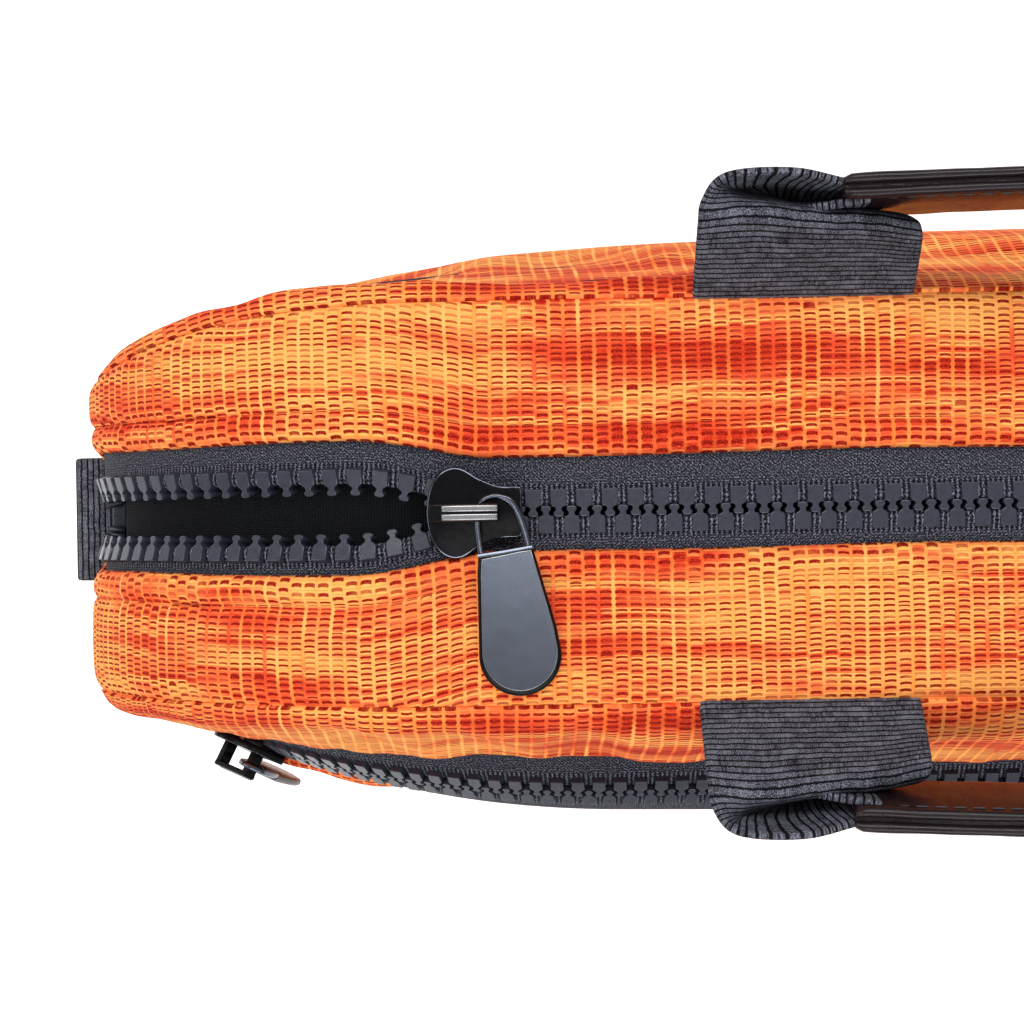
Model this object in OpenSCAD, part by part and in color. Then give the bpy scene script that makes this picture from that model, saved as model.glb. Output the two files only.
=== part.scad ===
// Zip-top carrying sandbag: a woven cover with two gripped handles, a front zip pocket
// and a cloth pouch of sand inside. Millimetres, +Z up, front towards -Y.
// The origin is the middle of the flat base.

/* [Cover] */
// Length of the cover from end to end
cover_length = 420; // [400:10:440]
// Height of the cover, base to zip
cover_height = 300; // [290:5:320]
// Zip centre line to the rear seam
rear_gusset = 36; // [34:1:40]
// Zip centre line to the front seam
front_gusset = 33; // [31:1:36]
// How far the rear panel bulges past its seam
rear_bulge = 21.5; // [18:0.5:26]
// How far the front panel bulges past its seam
front_bulge = 23.5; // [20:0.5:30]
// How much the rear seam comes in at the top of each end
end_narrowing = 9; // [0:0.5:10]
// Thickness of the woven cover cloth
cloth = 1.2; // [1:0.1:1.4]

/* [Main zip] */
// Tooth pitch of the main zip
main_pitch = 4.4; // [4.2:0.1:4.8]
// Where the main slider stands, from the middle
slider_x = -135.5; // [-138:0.5:-130]
// How far each row of teeth parts where the zip is open
parting = 4.6; // [3.5:0.1:5]
// How far down each end the zip runs
zip_end_depth = 62; // [58:1:64]

/* [Front pocket] */
// Drop from the top edge to the pocket zip
pocket_drop = 31; // [29:1:34]
// Half length of the pocket zip
pocket_half = 190; // [180:1:192]
// Half length of the pocket zip's straight middle, before it curves down
pocket_straight = 110; // [100:1:115]
// How far the pocket stands out below its zip
pocket_step = 6; // [4:0.5:7]
// Size of the pocket zip against the main zip
pocket_scale = 0.875; // [0.8:0.025:0.9]

/* [Handles] */
// Width of the handle webbing
webbing = 38; // [36:1:40]
// Distance between the middles of a handle's two legs
leg_spacing = 157; // [150:1:164]
// Length of the leather grip
grip_length = 146; // [140:1:150]
// Rise of the grip at its middle
grip_rise = 10; // [6:1:12]

/* [Hidden] */
$fn = 32;

orange = "orangered";
half_length = cover_length / 2;
corner_x = 65;      // top corner, along X
corner_z = 50;      // top corner, along Z
corner_power = 1.6; // 2 is an ellipse, less is flatter
base_radius = 30;   // bottom corners
clear = 0.3;        // gap between neighbouring layers

// ---- The cover's outline, seen from the front ----

corner_steps = 12;
base_steps = 5;

function corner_point(i, inset) =
    let (a = 90 * i / corner_steps, e = 2 / corner_power)
    [half_length - corner_x + (corner_x - inset) * pow(sin(a), e),
     cover_height - corner_z + (corner_z - inset) * pow(cos(a), e)];
function base_point(i, inset) =
    let (a = 90 * i / base_steps)
    [half_length - base_radius + (base_radius - inset) * cos(a),
     base_radius - (base_radius - inset) * sin(a)];

// Half of the outline, from the middle of the top, round the right end, to the middle of the base
function half_outline(inset = 0) = concat(
    [[0, cover_height - inset]],
    [for (i = [0 : corner_steps]) corner_point(i, inset)],
    [for (i = [0 : base_steps]) base_point(i, inset)],
    [[0, inset]]
);
function mirrored(points) = [for (i = [len(points) - 2 : -1 : 1]) [-points[i].x, points[i].y]];
function whole_outline(inset = 0) = concat(half_outline(inset), mirrored(half_outline(inset)));

// The outline as a path: distance from the middle of the top, signed like X
spine = half_outline();
function running(points, i = 0, sum = 0) =
    i >= len(points) ? [] :
    let (now = i == 0 ? 0 : sum + norm(points[i] - points[i - 1]))
    concat([now], running(points, i + 1, now));
spine_lengths = running(spine);
spine_x = [for (i = [0 : len(spine) - 1]) [spine_lengths[i], spine[i].x]];
spine_z = [for (i = [0 : len(spine) - 1]) [spine_lengths[i], spine[i].y]];
function side_of(s) = s < 0 ? -1 : 1;
function path(s) = [side_of(s) * lookup(abs(s), spine_x), 0, lookup(abs(s), spine_z)];
function unit(v) = v / norm(v);
function along(s) = unit(path(s + 2.5) - path(s - 2.5));
function outward(s) = let (t = along(s)) [-t.z, 0, t.x];
function on_path(s, y, height) = path(s) + outward(s) * height + [0, y, 0];

corner_end = spine_lengths[corner_steps + 1];
zip_end = corner_end + zip_end_depth - corner_z;
side_end = spine_lengths[corner_steps + 2];
base_start = spine_lengths[corner_steps + base_steps + 2];
path_end = spine_lengths[len(spine) - 1];

// Stops along the path, close together only where it bends or the zip is open
corner_stops = [for (i = [1 : corner_steps + 1]) spine_lengths[i]];
open_stops = [-141, -137, -133];
zip_stops = concat(
    [-zip_end], [for (i = [corner_steps : -1 : 0]) -corner_stops[i]], open_stops,
    [-60, 0, 60], corner_stops, [zip_end]
);

// ---- Solids swept or stretched over a grid ----

// A closed solid from rings with the same number of points
module ring_sweep(rings) {
    n = len(rings[0]);
    last = len(rings) - 1;
    faces = concat(
        [[for (k = [0 : n - 1]) k]],
        [for (i = [0 : last - 1]) for (k = [0 : n - 1])
            let (a = i * n, b = a + n, k1 = (k + 1) % n)
            each [[a + k1, a + k, b + k], [a + k1, b + k, b + k1]]],
        [[for (k = [n - 1 : -1 : 0]) last * n + k]]
    );
    polyhedron([for (r = rings) each r], faces);
}

// A flat strip that follows the outline, from_y(s) to to_y(s) wide and low to high in height
module ribbon(stops, from_y, to_y, low, high) {
    ring_sweep([for (s = stops) [
        on_path(s, from_y(s), low), on_path(s, to_y(s), low),
        on_path(s, to_y(s), high), on_path(s, from_y(s), high)
    ]]);
}

// Swell of a stuffed panel across its width or height, 0 at its seam and 1 in its middle
function swell(u) = pow(max(0, 1 - pow(abs(u), 2.6)), 0.62);

// Top and base edges of the panels at one X
function top_edge(x, inset) =
    let (d = max(0, abs(x) - half_length + corner_x) / (corner_x - inset))
    let (rise = pow(max(0, 1 - pow(min(1, d), corner_power)), 1 / corner_power))
    cover_height - corner_z + (corner_z - inset) * rise;
function base_edge(x, inset) =
    let (d = min(base_radius - inset, max(0, abs(x) - half_length + base_radius)))
    base_radius - sqrt(max(0, pow(base_radius - inset, 2) - d * d));
function bulge_at(x, z, inset) =
    let (top = top_edge(x, inset), base = base_edge(x, inset))
    swell(x / (half_length - inset)) * swell(2 * (z - base) / (top - base) - 1);

// A shell over a grid of columns, low_z(x) to high_z(x), with its skin at face_y(x, z)
// and its back at back_y(x, z)
right_columns = [0.2, 0.45, 0.68, 0.76, 0.83, 0.9, 0.95, 0.985, 1];
columns = concat([for (i = [len(right_columns) - 1 : -1 : 0]) -right_columns[i]], [0], right_columns);
module shell(low_z, high_z, rows, face_y, back_y, inset) {
    points_per_side = len(columns) * len(rows);
    reach = half_length - inset;
    function skin(depth) = [for (c = columns) for (r = rows)
        let (x = c * reach, low = low_z(x), z = low + (high_z(x) - low) * r)
        [x, depth(x, z), z]];
    m = len(rows);
    n = len(columns);
    face_grid = [for (i = [0 : n - 2]) for (j = [0 : m - 2])
        let (a = i * m + j, b = a + m) each [[a, b, b + 1], [a, b + 1, a + 1]]];
    back_grid = [for (f = face_grid) [for (k = [2 : -1 : 0]) f[k] + points_per_side]];
    rim = concat(
        [for (i = [0 : n - 1]) i * m],
        [for (j = [1 : m - 1]) (n - 1) * m + j],
        [for (i = [n - 2 : -1 : 0]) i * m + m - 1],
        [for (j = [m - 2 : -1 : 1]) j]
    );
    rim_faces = [for (k = [0 : len(rim) - 1])
        let (a = rim[k], b = rim[(k + 1) % len(rim)])
        each [[b, a, a + points_per_side], [b, a + points_per_side, b + points_per_side]]];
    all_faces = concat(face_grid, back_grid, rim_faces);
    front_facing = face_y(0, cover_height / 2) < back_y(0, cover_height / 2);
    polyhedron(
        concat(skin(face_y), skin(back_y)),
        front_facing ? [for (f = all_faces) [f[2], f[1], f[0]]] : all_faces
    );
}
full_rows = [0, 0.03, 0.09, 0.2, 0.38, 0.6, 0.78, 0.9, 0.97, 1];
lower_rows = [0, 0.03, 0.09, 0.2, 0.4, 0.65, 0.85, 0.95, 1];
yoke_rows = [0, 0.35, 0.7, 0.9, 1];

// ---- Cover panels ----

// The rear seam comes in near the ends, more at the top than at the base
narrow_from = 140;
narrow_low = 40;
narrow_high = 220;
function narrowing(x, z) =
    end_narrowing * pow(max(0, abs(x) - narrow_from) / (half_length - narrow_from), 3)
    * min(1, max(0, z - narrow_low) / (narrow_high - narrow_low));
function rear_seam(x, z) = rear_gusset - narrowing(x, z);
function front_seam(x, z) = front_gusset;
function rear_seam_on(s) = let (p = path(s)) rear_seam(p.x, p.z);
seam_gap = 0.1;
function rear_y(x, z, out) = rear_seam(x, z) + seam_gap + rear_bulge * bulge_at(x, z, 0) + out;
function front_y(x, z, out) = -front_seam(x, z) - seam_gap - front_bulge * bulge_at(x, z, 0) - out;

// The pocket zip runs straight in the middle and on an arc at each end, all in one leaning plane
pocket_radius = 100;
pocket_lean = 14;    // degrees that the plane of the zip leans from upright
straight_on = 192;   // beyond this the panels' edges go on in a straight line
function zip_slope(x) = asin(max(0, min(abs(x), straight_on) - pocket_straight) / pocket_radius);
function fall(x) =
    let (a = zip_slope(x)) pocket_radius * (1 - cos(a)) + max(0, abs(x) - straight_on) * tan(a);
function zip_z(x) = cover_height - pocket_drop - fall(x) * cos(pocket_lean);
zip_slot = 4; // half the width of the slot that the pocket zip lies in
slot_mouth = 5.6; // how much wider it is at its ends, for the slider
function slot_at(x) = zip_slot / cos(zip_slope(x)) + slot_mouth * pow(min(1, abs(x) / pocket_half), 2.4);
function pocket_line(x) = zip_z(x) + slot_at(x);
function pocket_lip(x) = zip_z(x) - slot_at(x);
function pocket_out(x, z) =
    pocket_step * sqrt(swell(x / half_length)) * min(1, max(0, z - base_edge(x, 0)) / 40);

module rear_panel() {
    color(orange)
    shell(function (x) base_edge(x, 0), function (x) top_edge(x, 0), full_rows,
        function (x, z) rear_y(x, z, cloth), function (x, z) rear_y(x, z, 0), 0);
}
module front_yoke() {
    color(orange)
    shell(function (x) pocket_line(x), function (x) top_edge(x, 0), yoke_rows,
        function (x, z) front_y(x, z, cloth), function (x, z) front_y(x, z, 0), 0);
}
module pocket_panel() {
    color(orange)
    shell(function (x) base_edge(x, 0), function (x) pocket_lip(x), lower_rows,
        function (x, z) front_y(x, z, cloth) - pocket_out(x, z),
        function (x, z) front_y(x, z, 0) - pocket_out(x, z), 0);
}

// Lining and pouch layers lie inside the gusset, so their outlines are smaller
module inner_layer(inset, side, seam, bulge, depth, thick) {
    shell(function (x) base_edge(x, inset), function (x) top_edge(x, inset), full_rows,
        function (x, z) side * (seam(x, z) - depth + bulge * bulge_at(x, z, inset)),
        function (x, z) side * (seam(x, z) - depth - thick + bulge * bulge_at(x, z, inset)), inset);
}
lining_inset = 6;
module rear_lining() {
    color("dimgray")
    inner_layer(lining_inset, 1, function (x, z) rear_seam(x, z), rear_bulge, 0.4, 0.8);
}
module pocket_backing() {
    color("dimgray")
    inner_layer(lining_inset, -1, function (x, z) front_seam(x, z), front_bulge, 0.6, 0.8);
}

// ---- Gusset: bands beside the zip, ends and base ----

rear_band_edge = 10.6;
front_band_edge = 7.6;
// How far the rows have parted at s: none at the slider and the end stop, most between
open_from = slider_x + 1;
open_full = slider_x - 22;
function parted(s) =
    s > open_from ? 0 :
    s > open_full ? parting * pow(sin(90 * (open_from - s) / (open_from - open_full)), 1.2) :
    s < -corner_end ? parting * max(0, (s + zip_end) / (zip_end - corner_end)) : parting;
function rear_edge(s) = rear_band_edge + 0.65 * parted(s);
function front_edge(s) = -front_band_edge - 0.75 * parted(s);

module top_band_rear() {
    color(orange)
    ribbon(zip_stops, function (s) rear_edge(s), function (s) rear_seam_on(s), -cloth, 0);
}
module top_band_front() {
    color(orange)
    ribbon(zip_stops, function (s) -front_gusset, function (s) front_edge(s), -cloth, 0);
}
gusset_gap = 1;
corner_base_stops = [for (i = [0 : base_steps]) spine_lengths[corner_steps + 2 + i]];
narrow_stops = [side_end - narrow_high + base_radius, side_end - narrow_low + base_radius];
end_stops = concat([zip_end + gusset_gap], narrow_stops, corner_base_stops);
module end_gusset_right() {
    color(orange) ribbon(end_stops, function (s) -front_gusset, function (s) rear_seam_on(s), -cloth, 0);
}
module end_gusset_left() {
    mirror([1, 0, 0]) end_gusset_right();
}
base_half = half_length - base_radius - 0.2;
module base_panel() {
    color(orange)
    translate([-base_half, -front_gusset, 0]) cube([2 * base_half, front_gusset + rear_gusset, cloth]);
}

// Bound seam allowances, inside the gusset along both panels, with their ends at the middle of the base
right_stops = concat(corner_stops, narrow_stops, corner_base_stops, [path_end - 0.5]);
loop_stops = concat([for (i = [len(right_stops) - 1 : -1 : 0]) -right_stops[i]], right_stops);
binding_high = -cloth - clear;
binding_low = clear - lining_inset;
module seam_binding_rear() {
    color("black")
    ribbon(loop_stops, function (s) rear_seam_on(s) - 3.4, function (s) rear_seam_on(s) - 1.4,
        binding_low, binding_high);
}
module seam_binding_front() {
    color("black")
    ribbon(loop_stops, function (s) 1.4 - front_gusset, function (s) 3.4 - front_gusset,
        binding_low, binding_high);
}

// ---- Zip chain ----

tape_low = -2.1;
tape_high = -1.4;
chain_level = (tape_low + tape_high) / 2;
chain_thick = 3.4;
chain_half = 3.8;
tape_from = 1.6;  // the tape's inner edge, from the row's middle line
tape_under = 4.5; // how far the tape goes under the cloth

module main_tape_rear() {
    color("black")
    ribbon(zip_stops, function (s) tape_from + parted(s), function (s) rear_edge(s) + tape_under,
        tape_low, tape_high);
}
module main_tape_front() {
    color("black")
    ribbon(zip_stops, function (s) front_edge(s) - tape_under, function (s) -tape_from - parted(s),
        tape_low, tape_high);
}

// A moulded tooth, its root at -chain_half and its round head just past 0
module tooth(scale_by = 1, flatten = 1) {
    body = 1.4;
    neck = 0.55;
    head = 0.88;
    thick = chain_thick * flatten;
    scale(scale_by) translate([0, 0, -thick / 2]) linear_extrude(thick) {
        polygon([[-body, -chain_half], [body, -chain_half], [body, -1.35], [neck, -0.9], [neck, 0],
                 [-neck, 0], [-neck, -0.9], [-body, -1.35]]);
        circle(head);
    }
}
// Places a child at p with its X along t and its Z near n
module placed(p, t, n) {
    y = unit(cross(n, t));
    z = cross(t, y);
    multmatrix([[t.x, y.x, z.x, p.x], [t.y, y.y, z.y, p.y], [t.z, y.z, z.z, p.z], [0, 0, 0, 1]]) children();
}
function row_point(s, side) = on_path(s, side * parted(s), chain_level);
function row_along(s, side) = unit(row_point(s + 3, side) - row_point(s - 3, side));
teeth_each_side = floor((zip_end - 5) / main_pitch);

module main_teeth_front() {
    color("dimgray")
    for (i = [-teeth_each_side : teeth_each_side]) let (s = i * main_pitch)
        placed(row_point(s, -1), row_along(s, -1), outward(s)) tooth();
}
module main_teeth_rear() {
    color("dimgray")
    for (i = [-teeth_each_side : teeth_each_side - 1]) let (s = (i + 0.5) * main_pitch)
        placed(row_point(s, 1), row_along(s, 1), outward(s)) mirror([0, 1, 0]) tooth();
}
module end_stop(width, height) {
    translate([-1, -width / 2, -height / 2]) cube([2, width, height]);
}
module main_end_stops() {
    color("black")
    for (side = [-1, 1]) let (s = side * (teeth_each_side * main_pitch + 3.2))
        placed(on_path(s, 0, chain_level), along(s), outward(s)) end_stop(6.4, 3);
}

// ---- Sliders and pulls: X along the chain towards its closed end, Z away from the bag ----

plate_thick = 1.7;
plate_gap = chain_thick / 2 + clear; // chain's mid plane to a plate
plate_wide = 7.75;
plate_tail = 4.6;
plate_half = 8.4;
bridge_x = [-7.6, 4.2];
bridge_wide = 3;
bridge_clear = 4.6;
bridge_thick = 1.4;
pivot_height = plate_gap + plate_thick + 3;
plate_top = plate_gap + plate_thick;

module plate_shape() {
    lobe_x = -3.8;
    lobe_r = 4.6;
    hull() {
        for (side = [-1, 1]) translate([lobe_x, side * (plate_wide - lobe_r)]) circle(lobe_r);
        translate([1.5, -plate_tail]) square([0.5, 2 * plate_tail]);
    }
    translate([0, -plate_tail]) square([plate_half, 2 * plate_tail]);
}
module slider_body() {
    color("black") {
        translate([0, 0, plate_gap]) linear_extrude(plate_thick) plate_shape();
        translate([0, 0, -plate_gap - plate_thick]) linear_extrude(plate_thick) plate_shape();
        // the wedge that parts the rows
        translate([-8, -0.8, -plate_gap - 0.1]) cube([2.3, 1.6, 2 * plate_gap + 0.2]);
        // the bridge that holds the pull
        translate([bridge_x[0], -bridge_wide / 2, plate_top + bridge_clear])
            cube([bridge_x[1] - bridge_x[0], bridge_wide, bridge_thick]);
        for (x = [bridge_x[0], bridge_x[1] - 1.4])
            translate([x, -bridge_wide / 2, plate_top - 0.1]) cube([1.4, bridge_wide, bridge_clear + 0.2]);
    }
}
// Flange lips beside the closed chain, above and below the tape
flange_y = 4.45;
flange_thick = 0.3;
flange_tall = 1.3;
flange_from = 2;
module slider_flanges() {
    color("black")
    for (side = [-1, 1]) for (level = [-1, 1])
        translate([
            flange_from, side * flange_y - flange_thick / 2,
            level > 0 ? plate_gap + 0.1 - flange_tall : -plate_gap - 0.1
        ])
            cube([plate_half - flange_from, flange_thick, flange_tall]);
}
// The pull lies along -Y, and its ring is round the bridge's closed-end leg, at the origin
pull_thick = 1.5;
pull_end = 6.9;     // radius of the rounded end
pull_end_y = -24.4;
pull_lean = 4;      // how far the end stands off the leg
ring_outer = [
    [6.3, -6], [5.5, -2.6], [4.4, 0.3], [3.1, 2.4], [1.1, 3.3], [-0.8, 3.2], [-2.6, 2], [-3.3, -2],
    [-2.9, -7.4]
];
ring_inner = [
    [-2.2, -2], [-1.8, -6.4], [5, -5.8], [4.2, -3.2], [3.3, -0.6], [2.4, 1.2], [0.9, 2.1], [-0.5, 2.1],
    [-1.7, 1.3]
];
module pull_body() {
    color("dimgray")
    translate([0, 0, -pull_thick / 2]) linear_extrude(pull_thick) difference() {
        polygon(concat(
            ring_outer,
            [for (a = [180 : 10 : 360]) [pull_lean + pull_end * cos(a), pull_end_y + pull_end * sin(a)]]
        ));
        polygon(ring_inner);
    }
}
pull_x = bridge_x[1] - 0.7; // middle of the leg, along the slider
pull_rest = 5;      // degrees that the pull droops at rest

chain_z = cover_height + chain_level;
module main_slider() {
    translate([slider_x, 0, chain_z]) {
        slider_body();
        slider_flanges();
    }
}
module main_pull() {
    translate([slider_x + pull_x, 0, chain_z + pivot_height]) rotate([pull_rest, 0, 0]) pull_body();
}

// ---- Pocket zip: on a shelf between the yoke and the pocket panel ----

// The shelf falls towards the front, and steeper at its ends
function shelf_tilt(x) = 34 + 26 * pow(abs(x) / pocket_half, 2);
shelf_y = front_y(0, zip_z(0), cloth) - 0.56 * pocket_step;
function shelf_point(x) = [x, shelf_y + fall(x) * sin(pocket_lean), zip_z(x)];
function shelf_along(x) = unit(shelf_point(x + 1) - shelf_point(x - 1));
function shelf_up(x) = [0, -sin(shelf_tilt(x)), cos(shelf_tilt(x))];
function shelf_side(x) = unit(cross(shelf_up(x), shelf_along(x))); // towards the zip's upper edge
function shelf_out(x) = cross(shelf_along(x), shelf_side(x));
function on_shelf(x, side, height) = shelf_point(x) + shelf_side(x) * side + shelf_out(x) * height;
bend_stops = [for (u = [0.58, 0.65, 0.72, 0.78, 0.83, 0.87, 0.91, 0.94, 0.97, 1]) u * pocket_half];
pocket_stops = concat([for (i = [len(bend_stops) - 1 : -1 : 0]) -bend_stops[i]], [0], bend_stops);
tape_half = 0.35 * pocket_scale;

module pocket_tape(from_side, to_side) {
    color("black")
    ring_sweep([for (x = pocket_stops) [
        on_shelf(x, from_side, -tape_half), on_shelf(x, to_side, -tape_half),
        on_shelf(x, to_side, tape_half), on_shelf(x, from_side, tape_half)
    ]]);
}
module pocket_tape_upper() {
    pocket_tape(1.4, 4.3);
}
module pocket_tape_lower() {
    pocket_tape(-4.3, -1.4);
}

pocket_pitch = main_pitch * pocket_scale;
// X for each tooth, a pitch apart along the falling zip
function pocket_xs(x, found = []) =
    x > pocket_half - 4 ? found :
    pocket_xs(x + pocket_pitch * shelf_along(x + 0.5 * pocket_pitch).x, concat(found, [x]));
right_xs = pocket_xs(0);
function tooth_xs(shift) = concat(
    [for (x = right_xs) -x - shift * shelf_along(x).x],
    [for (i = [(shift > 0 ? 0 : 1) : len(right_xs) - 1]) let (x = right_xs[i]) x + shift * shelf_along(x).x]
);
pocket_flatten = 0.88; // the pocket's teeth are thinner still, to clear the slider's plates
// The zip is shut, so its slider stands at its end and no tooth is past the slider's wedge
module pocket_teeth(shift, flip) {
    color("dimgray")
    for (x = tooth_xs(shift)) if (x > pocket_slider_x - 0.5)
        placed(on_shelf(x, 0, 0), shelf_along(x), shelf_out(x)) mirror([0, flip, 0])
            tooth(pocket_scale, pocket_flatten);
}
module pocket_teeth_lower() {
    pocket_teeth(0, 0);
}
module pocket_teeth_upper() {
    pocket_teeth(pocket_pitch / 2, 1);
}
module pocket_end_stops() {
    color("black")
    for (side = [-1, 1]) let (x = side * (pocket_half - 1))
        placed(on_shelf(x, 0, 0), shelf_along(x), shelf_out(x)) end_stop(5, 2.4);
}
pocket_slider_x = -pocket_half + 8;
pocket_pull_droop = 4;
pocket_pull_swing = -46; // hangs straight down, against the slope of the zip
module at_pocket_slider() {
    x = pocket_slider_x;
    placed(on_shelf(x, 0, 0), shelf_along(x), shelf_out(x)) scale(pocket_scale) children();
}
module pocket_slider() {
    at_pocket_slider() slider_body();
}
module pocket_pull() {
    at_pocket_slider() translate([pull_x, 0, pivot_height])
        rotate([0, 0, pocket_pull_swing]) rotate([pocket_pull_droop, 0, 0]) pull_body();
}

// ---- Handles: webbing legs that rise from the seam, curl and fold into a leather grip ----
// Drawn for a seam at y = 0 and the cover's top at z = 0, outward towards +Y.

web_thick = 1.5;
leg_reach = [[1.1, 1.5], [5, 6], [9.5, 9.8], [13.2, 11.8]]; // outward and up, along the leg
curl_path = [[-18.6, 12.4], [-18.2, 16.6], [-15.4, 19.2], [-9, 20.2], [-1, 19.2], [7, 17.2], [10.5, 16.6]];
grip_out = 16;
grip_low = -0.5;
grip_tall = 19;
bar_half = 0.9;
grip_half_angle = 2 * atan(2 * grip_rise / grip_length);
grip_radius = grip_length / 2 / sin(grip_half_angle);

module webbing_leg() {
    ring_sweep([for (x = [-webbing / 2, webbing / 2]) concat(
        [for (p = leg_reach) [x, p[0], p[1] - web_thick / 2]],
        [for (i = [len(leg_reach) - 1 : -1 : 0]) [x, leg_reach[i][0], leg_reach[i][1] + web_thick / 2]]
    )]);
}
function side_step(points, i) =
    let (a = points[max(0, i - 1)], b = points[min(len(points) - 1, i + 1)], d = (b - a) / norm(b - a))
    [-d.y, d.x];
function thick_line(points, half) = concat(
    [for (i = [0 : len(points) - 1]) points[i] + side_step(points, i) * half],
    [for (i = [len(points) - 1 : -1 : 0]) points[i] - side_step(points, i) * half]
);
module webbing_curl() {
    translate([0, 0, 3]) linear_extrude(12) polygon(thick_line(curl_path, web_thick / 2));
}
// Sweeps a section, drawn with its foot at y = 0, along the grip's arc
module along_grip() {
    translate([0, grip_out, grip_low + grip_rise - grip_radius])
    rotate([90, 0, 0]) rotate([0, 0, 90 - grip_half_angle])
    rotate_extrude(angle = 2 * grip_half_angle, $fn = 180)
    translate([grip_radius, 0]) rotate([0, 0, -90]) children();
}
module strap_end() {
    translate([-leg_spacing / 2, 0, 0]) {
        webbing_leg();
        webbing_curl();
    }
}
module handle_strap() {
    color("black") {
        strap_end();
        mirror([1, 0, 0]) strap_end();
        along_grip() translate([-bar_half, 0]) square([2 * bar_half, grip_tall - 1]);
    }
}
wrap_gap = 0.1;
wrap_thick = 0.9;
module wrap_section() {
    outer = bar_half + wrap_gap + wrap_thick;
    difference() {
        union() {
            translate([-outer, -1]) square([2 * outer, grip_tall - 0.2]);
            for (side = [-1, 1]) translate([side * (outer - 0.7), grip_tall - 1]) circle(0.85);
            translate([0, -1]) intersection() {
                circle(outer);
                translate([-5, -5]) square([10, 5]);
            }
        }
        translate([-bar_half - wrap_gap, -wrap_gap]) square([2 * (bar_half + wrap_gap), grip_tall + 5]);
    }
}
module grip_wrap() {
    color("maroon") along_grip() wrap_section();
}
module rear_place() {
    translate([0, rear_gusset, cover_height]) children();
}
module front_place() {
    translate([0, -front_gusset, cover_height]) mirror([0, 1, 0]) children();
}
module rear_handle_strap() {
    rear_place() handle_strap();
}
module rear_grip_wrap() {
    rear_place() grip_wrap();
}
module front_handle_strap() {
    front_place() handle_strap();
}
module front_grip_wrap() {
    front_place() grip_wrap();
}

// ---- End tabs: folded webbing at each end of the zip ----

tab_wide = 25;
tab_out = 7.6;
tab_tall = 5.4;
tab_depth = 65;
module end_tab_right() {
    color("black")
    translate([half_length + clear, tab_wide / 2, cover_height - tab_depth]) rotate([90, 0, 0])
    linear_extrude(tab_wide) difference() {
        union() {
            square([tab_out - tab_tall / 2, tab_tall]);
            translate([tab_out - tab_tall / 2, tab_tall / 2]) circle(tab_tall / 2);
        }
        translate([-1, web_thick]) square([tab_out - tab_tall / 2 + 1, tab_tall - 2 * web_thick]);
        translate([tab_out - tab_tall / 2, tab_tall / 2]) circle(tab_tall / 2 - web_thick);
    }
}
module end_tab_left() {
    mirror([1, 0, 0]) end_tab_right();
}

// ---- Sand pouch ----

pouch_inset = 11;
pouch_cloth = 0.8;
pouch_depth = 4;    // gap and layers between a cover seam and the pouch
module pouch_rear() {
    color("black")
    inner_layer(pouch_inset, 1, function (x, z) rear_seam(x, z), rear_bulge, pouch_depth, pouch_cloth);
}
module pouch_front() {
    color("black")
    inner_layer(pouch_inset, -1, function (x, z) front_seam(x, z), front_bulge, pouch_depth, pouch_cloth);
}
// The pouch's narrow wall, all the way round between its two faces
module pouch_gusset() {
    depth = pouch_depth + pouch_cloth + 0.6;
    color("black")
    ribbon(loop_stops, function (s) depth - front_gusset, function (s) rear_seam_on(s) - depth,
        -pouch_inset - pouch_cloth, -pouch_inset);
}
// Hook-and-loop strip that shuts the pouch's filling mouth
module pouch_closure() {
    color("black")
    translate([-90, -12, cover_height - pouch_inset + 0.2]) cube([180, 24, 1.6]);
}
// The sand, a little inside the pouch cloth
module sand_fill() {
    inset = pouch_inset + pouch_cloth + 2;
    depth = pouch_depth + pouch_cloth + 0.6;
    color("tan")
    shell(function (x) base_edge(x, inset), function (x) top_edge(x, inset), full_rows,
        function (x, z) rear_seam(x, z) - depth + rear_bulge * bulge_at(x, z, inset),
        function (x, z) -(front_seam(x, z) - depth + front_bulge * bulge_at(x, z, inset)), inset);
}

rear_panel();
front_yoke();
pocket_panel();
pocket_backing();
rear_lining();
top_band_rear();
top_band_front();
end_gusset_left();
end_gusset_right();
base_panel();
seam_binding_rear();
seam_binding_front();
main_tape_rear();
main_tape_front();
main_teeth_rear();
main_teeth_front();
main_end_stops();
main_slider();
main_pull();
pocket_tape_upper();
pocket_tape_lower();
pocket_teeth_upper();
pocket_teeth_lower();
pocket_end_stops();
pocket_slider();
pocket_pull();
rear_handle_strap();
rear_grip_wrap();
front_handle_strap();
front_grip_wrap();
end_tab_left();
end_tab_right();
pouch_front();
pouch_rear();
pouch_gusset();
pouch_closure();
sand_fill();
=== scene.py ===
"""Looks of the zip-top sandbag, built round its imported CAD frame. Metres, +Z up, pocket towards -Y."""
import math

import bpy
import numpy as np
from mathutils import Matrix, Vector, noise


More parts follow.
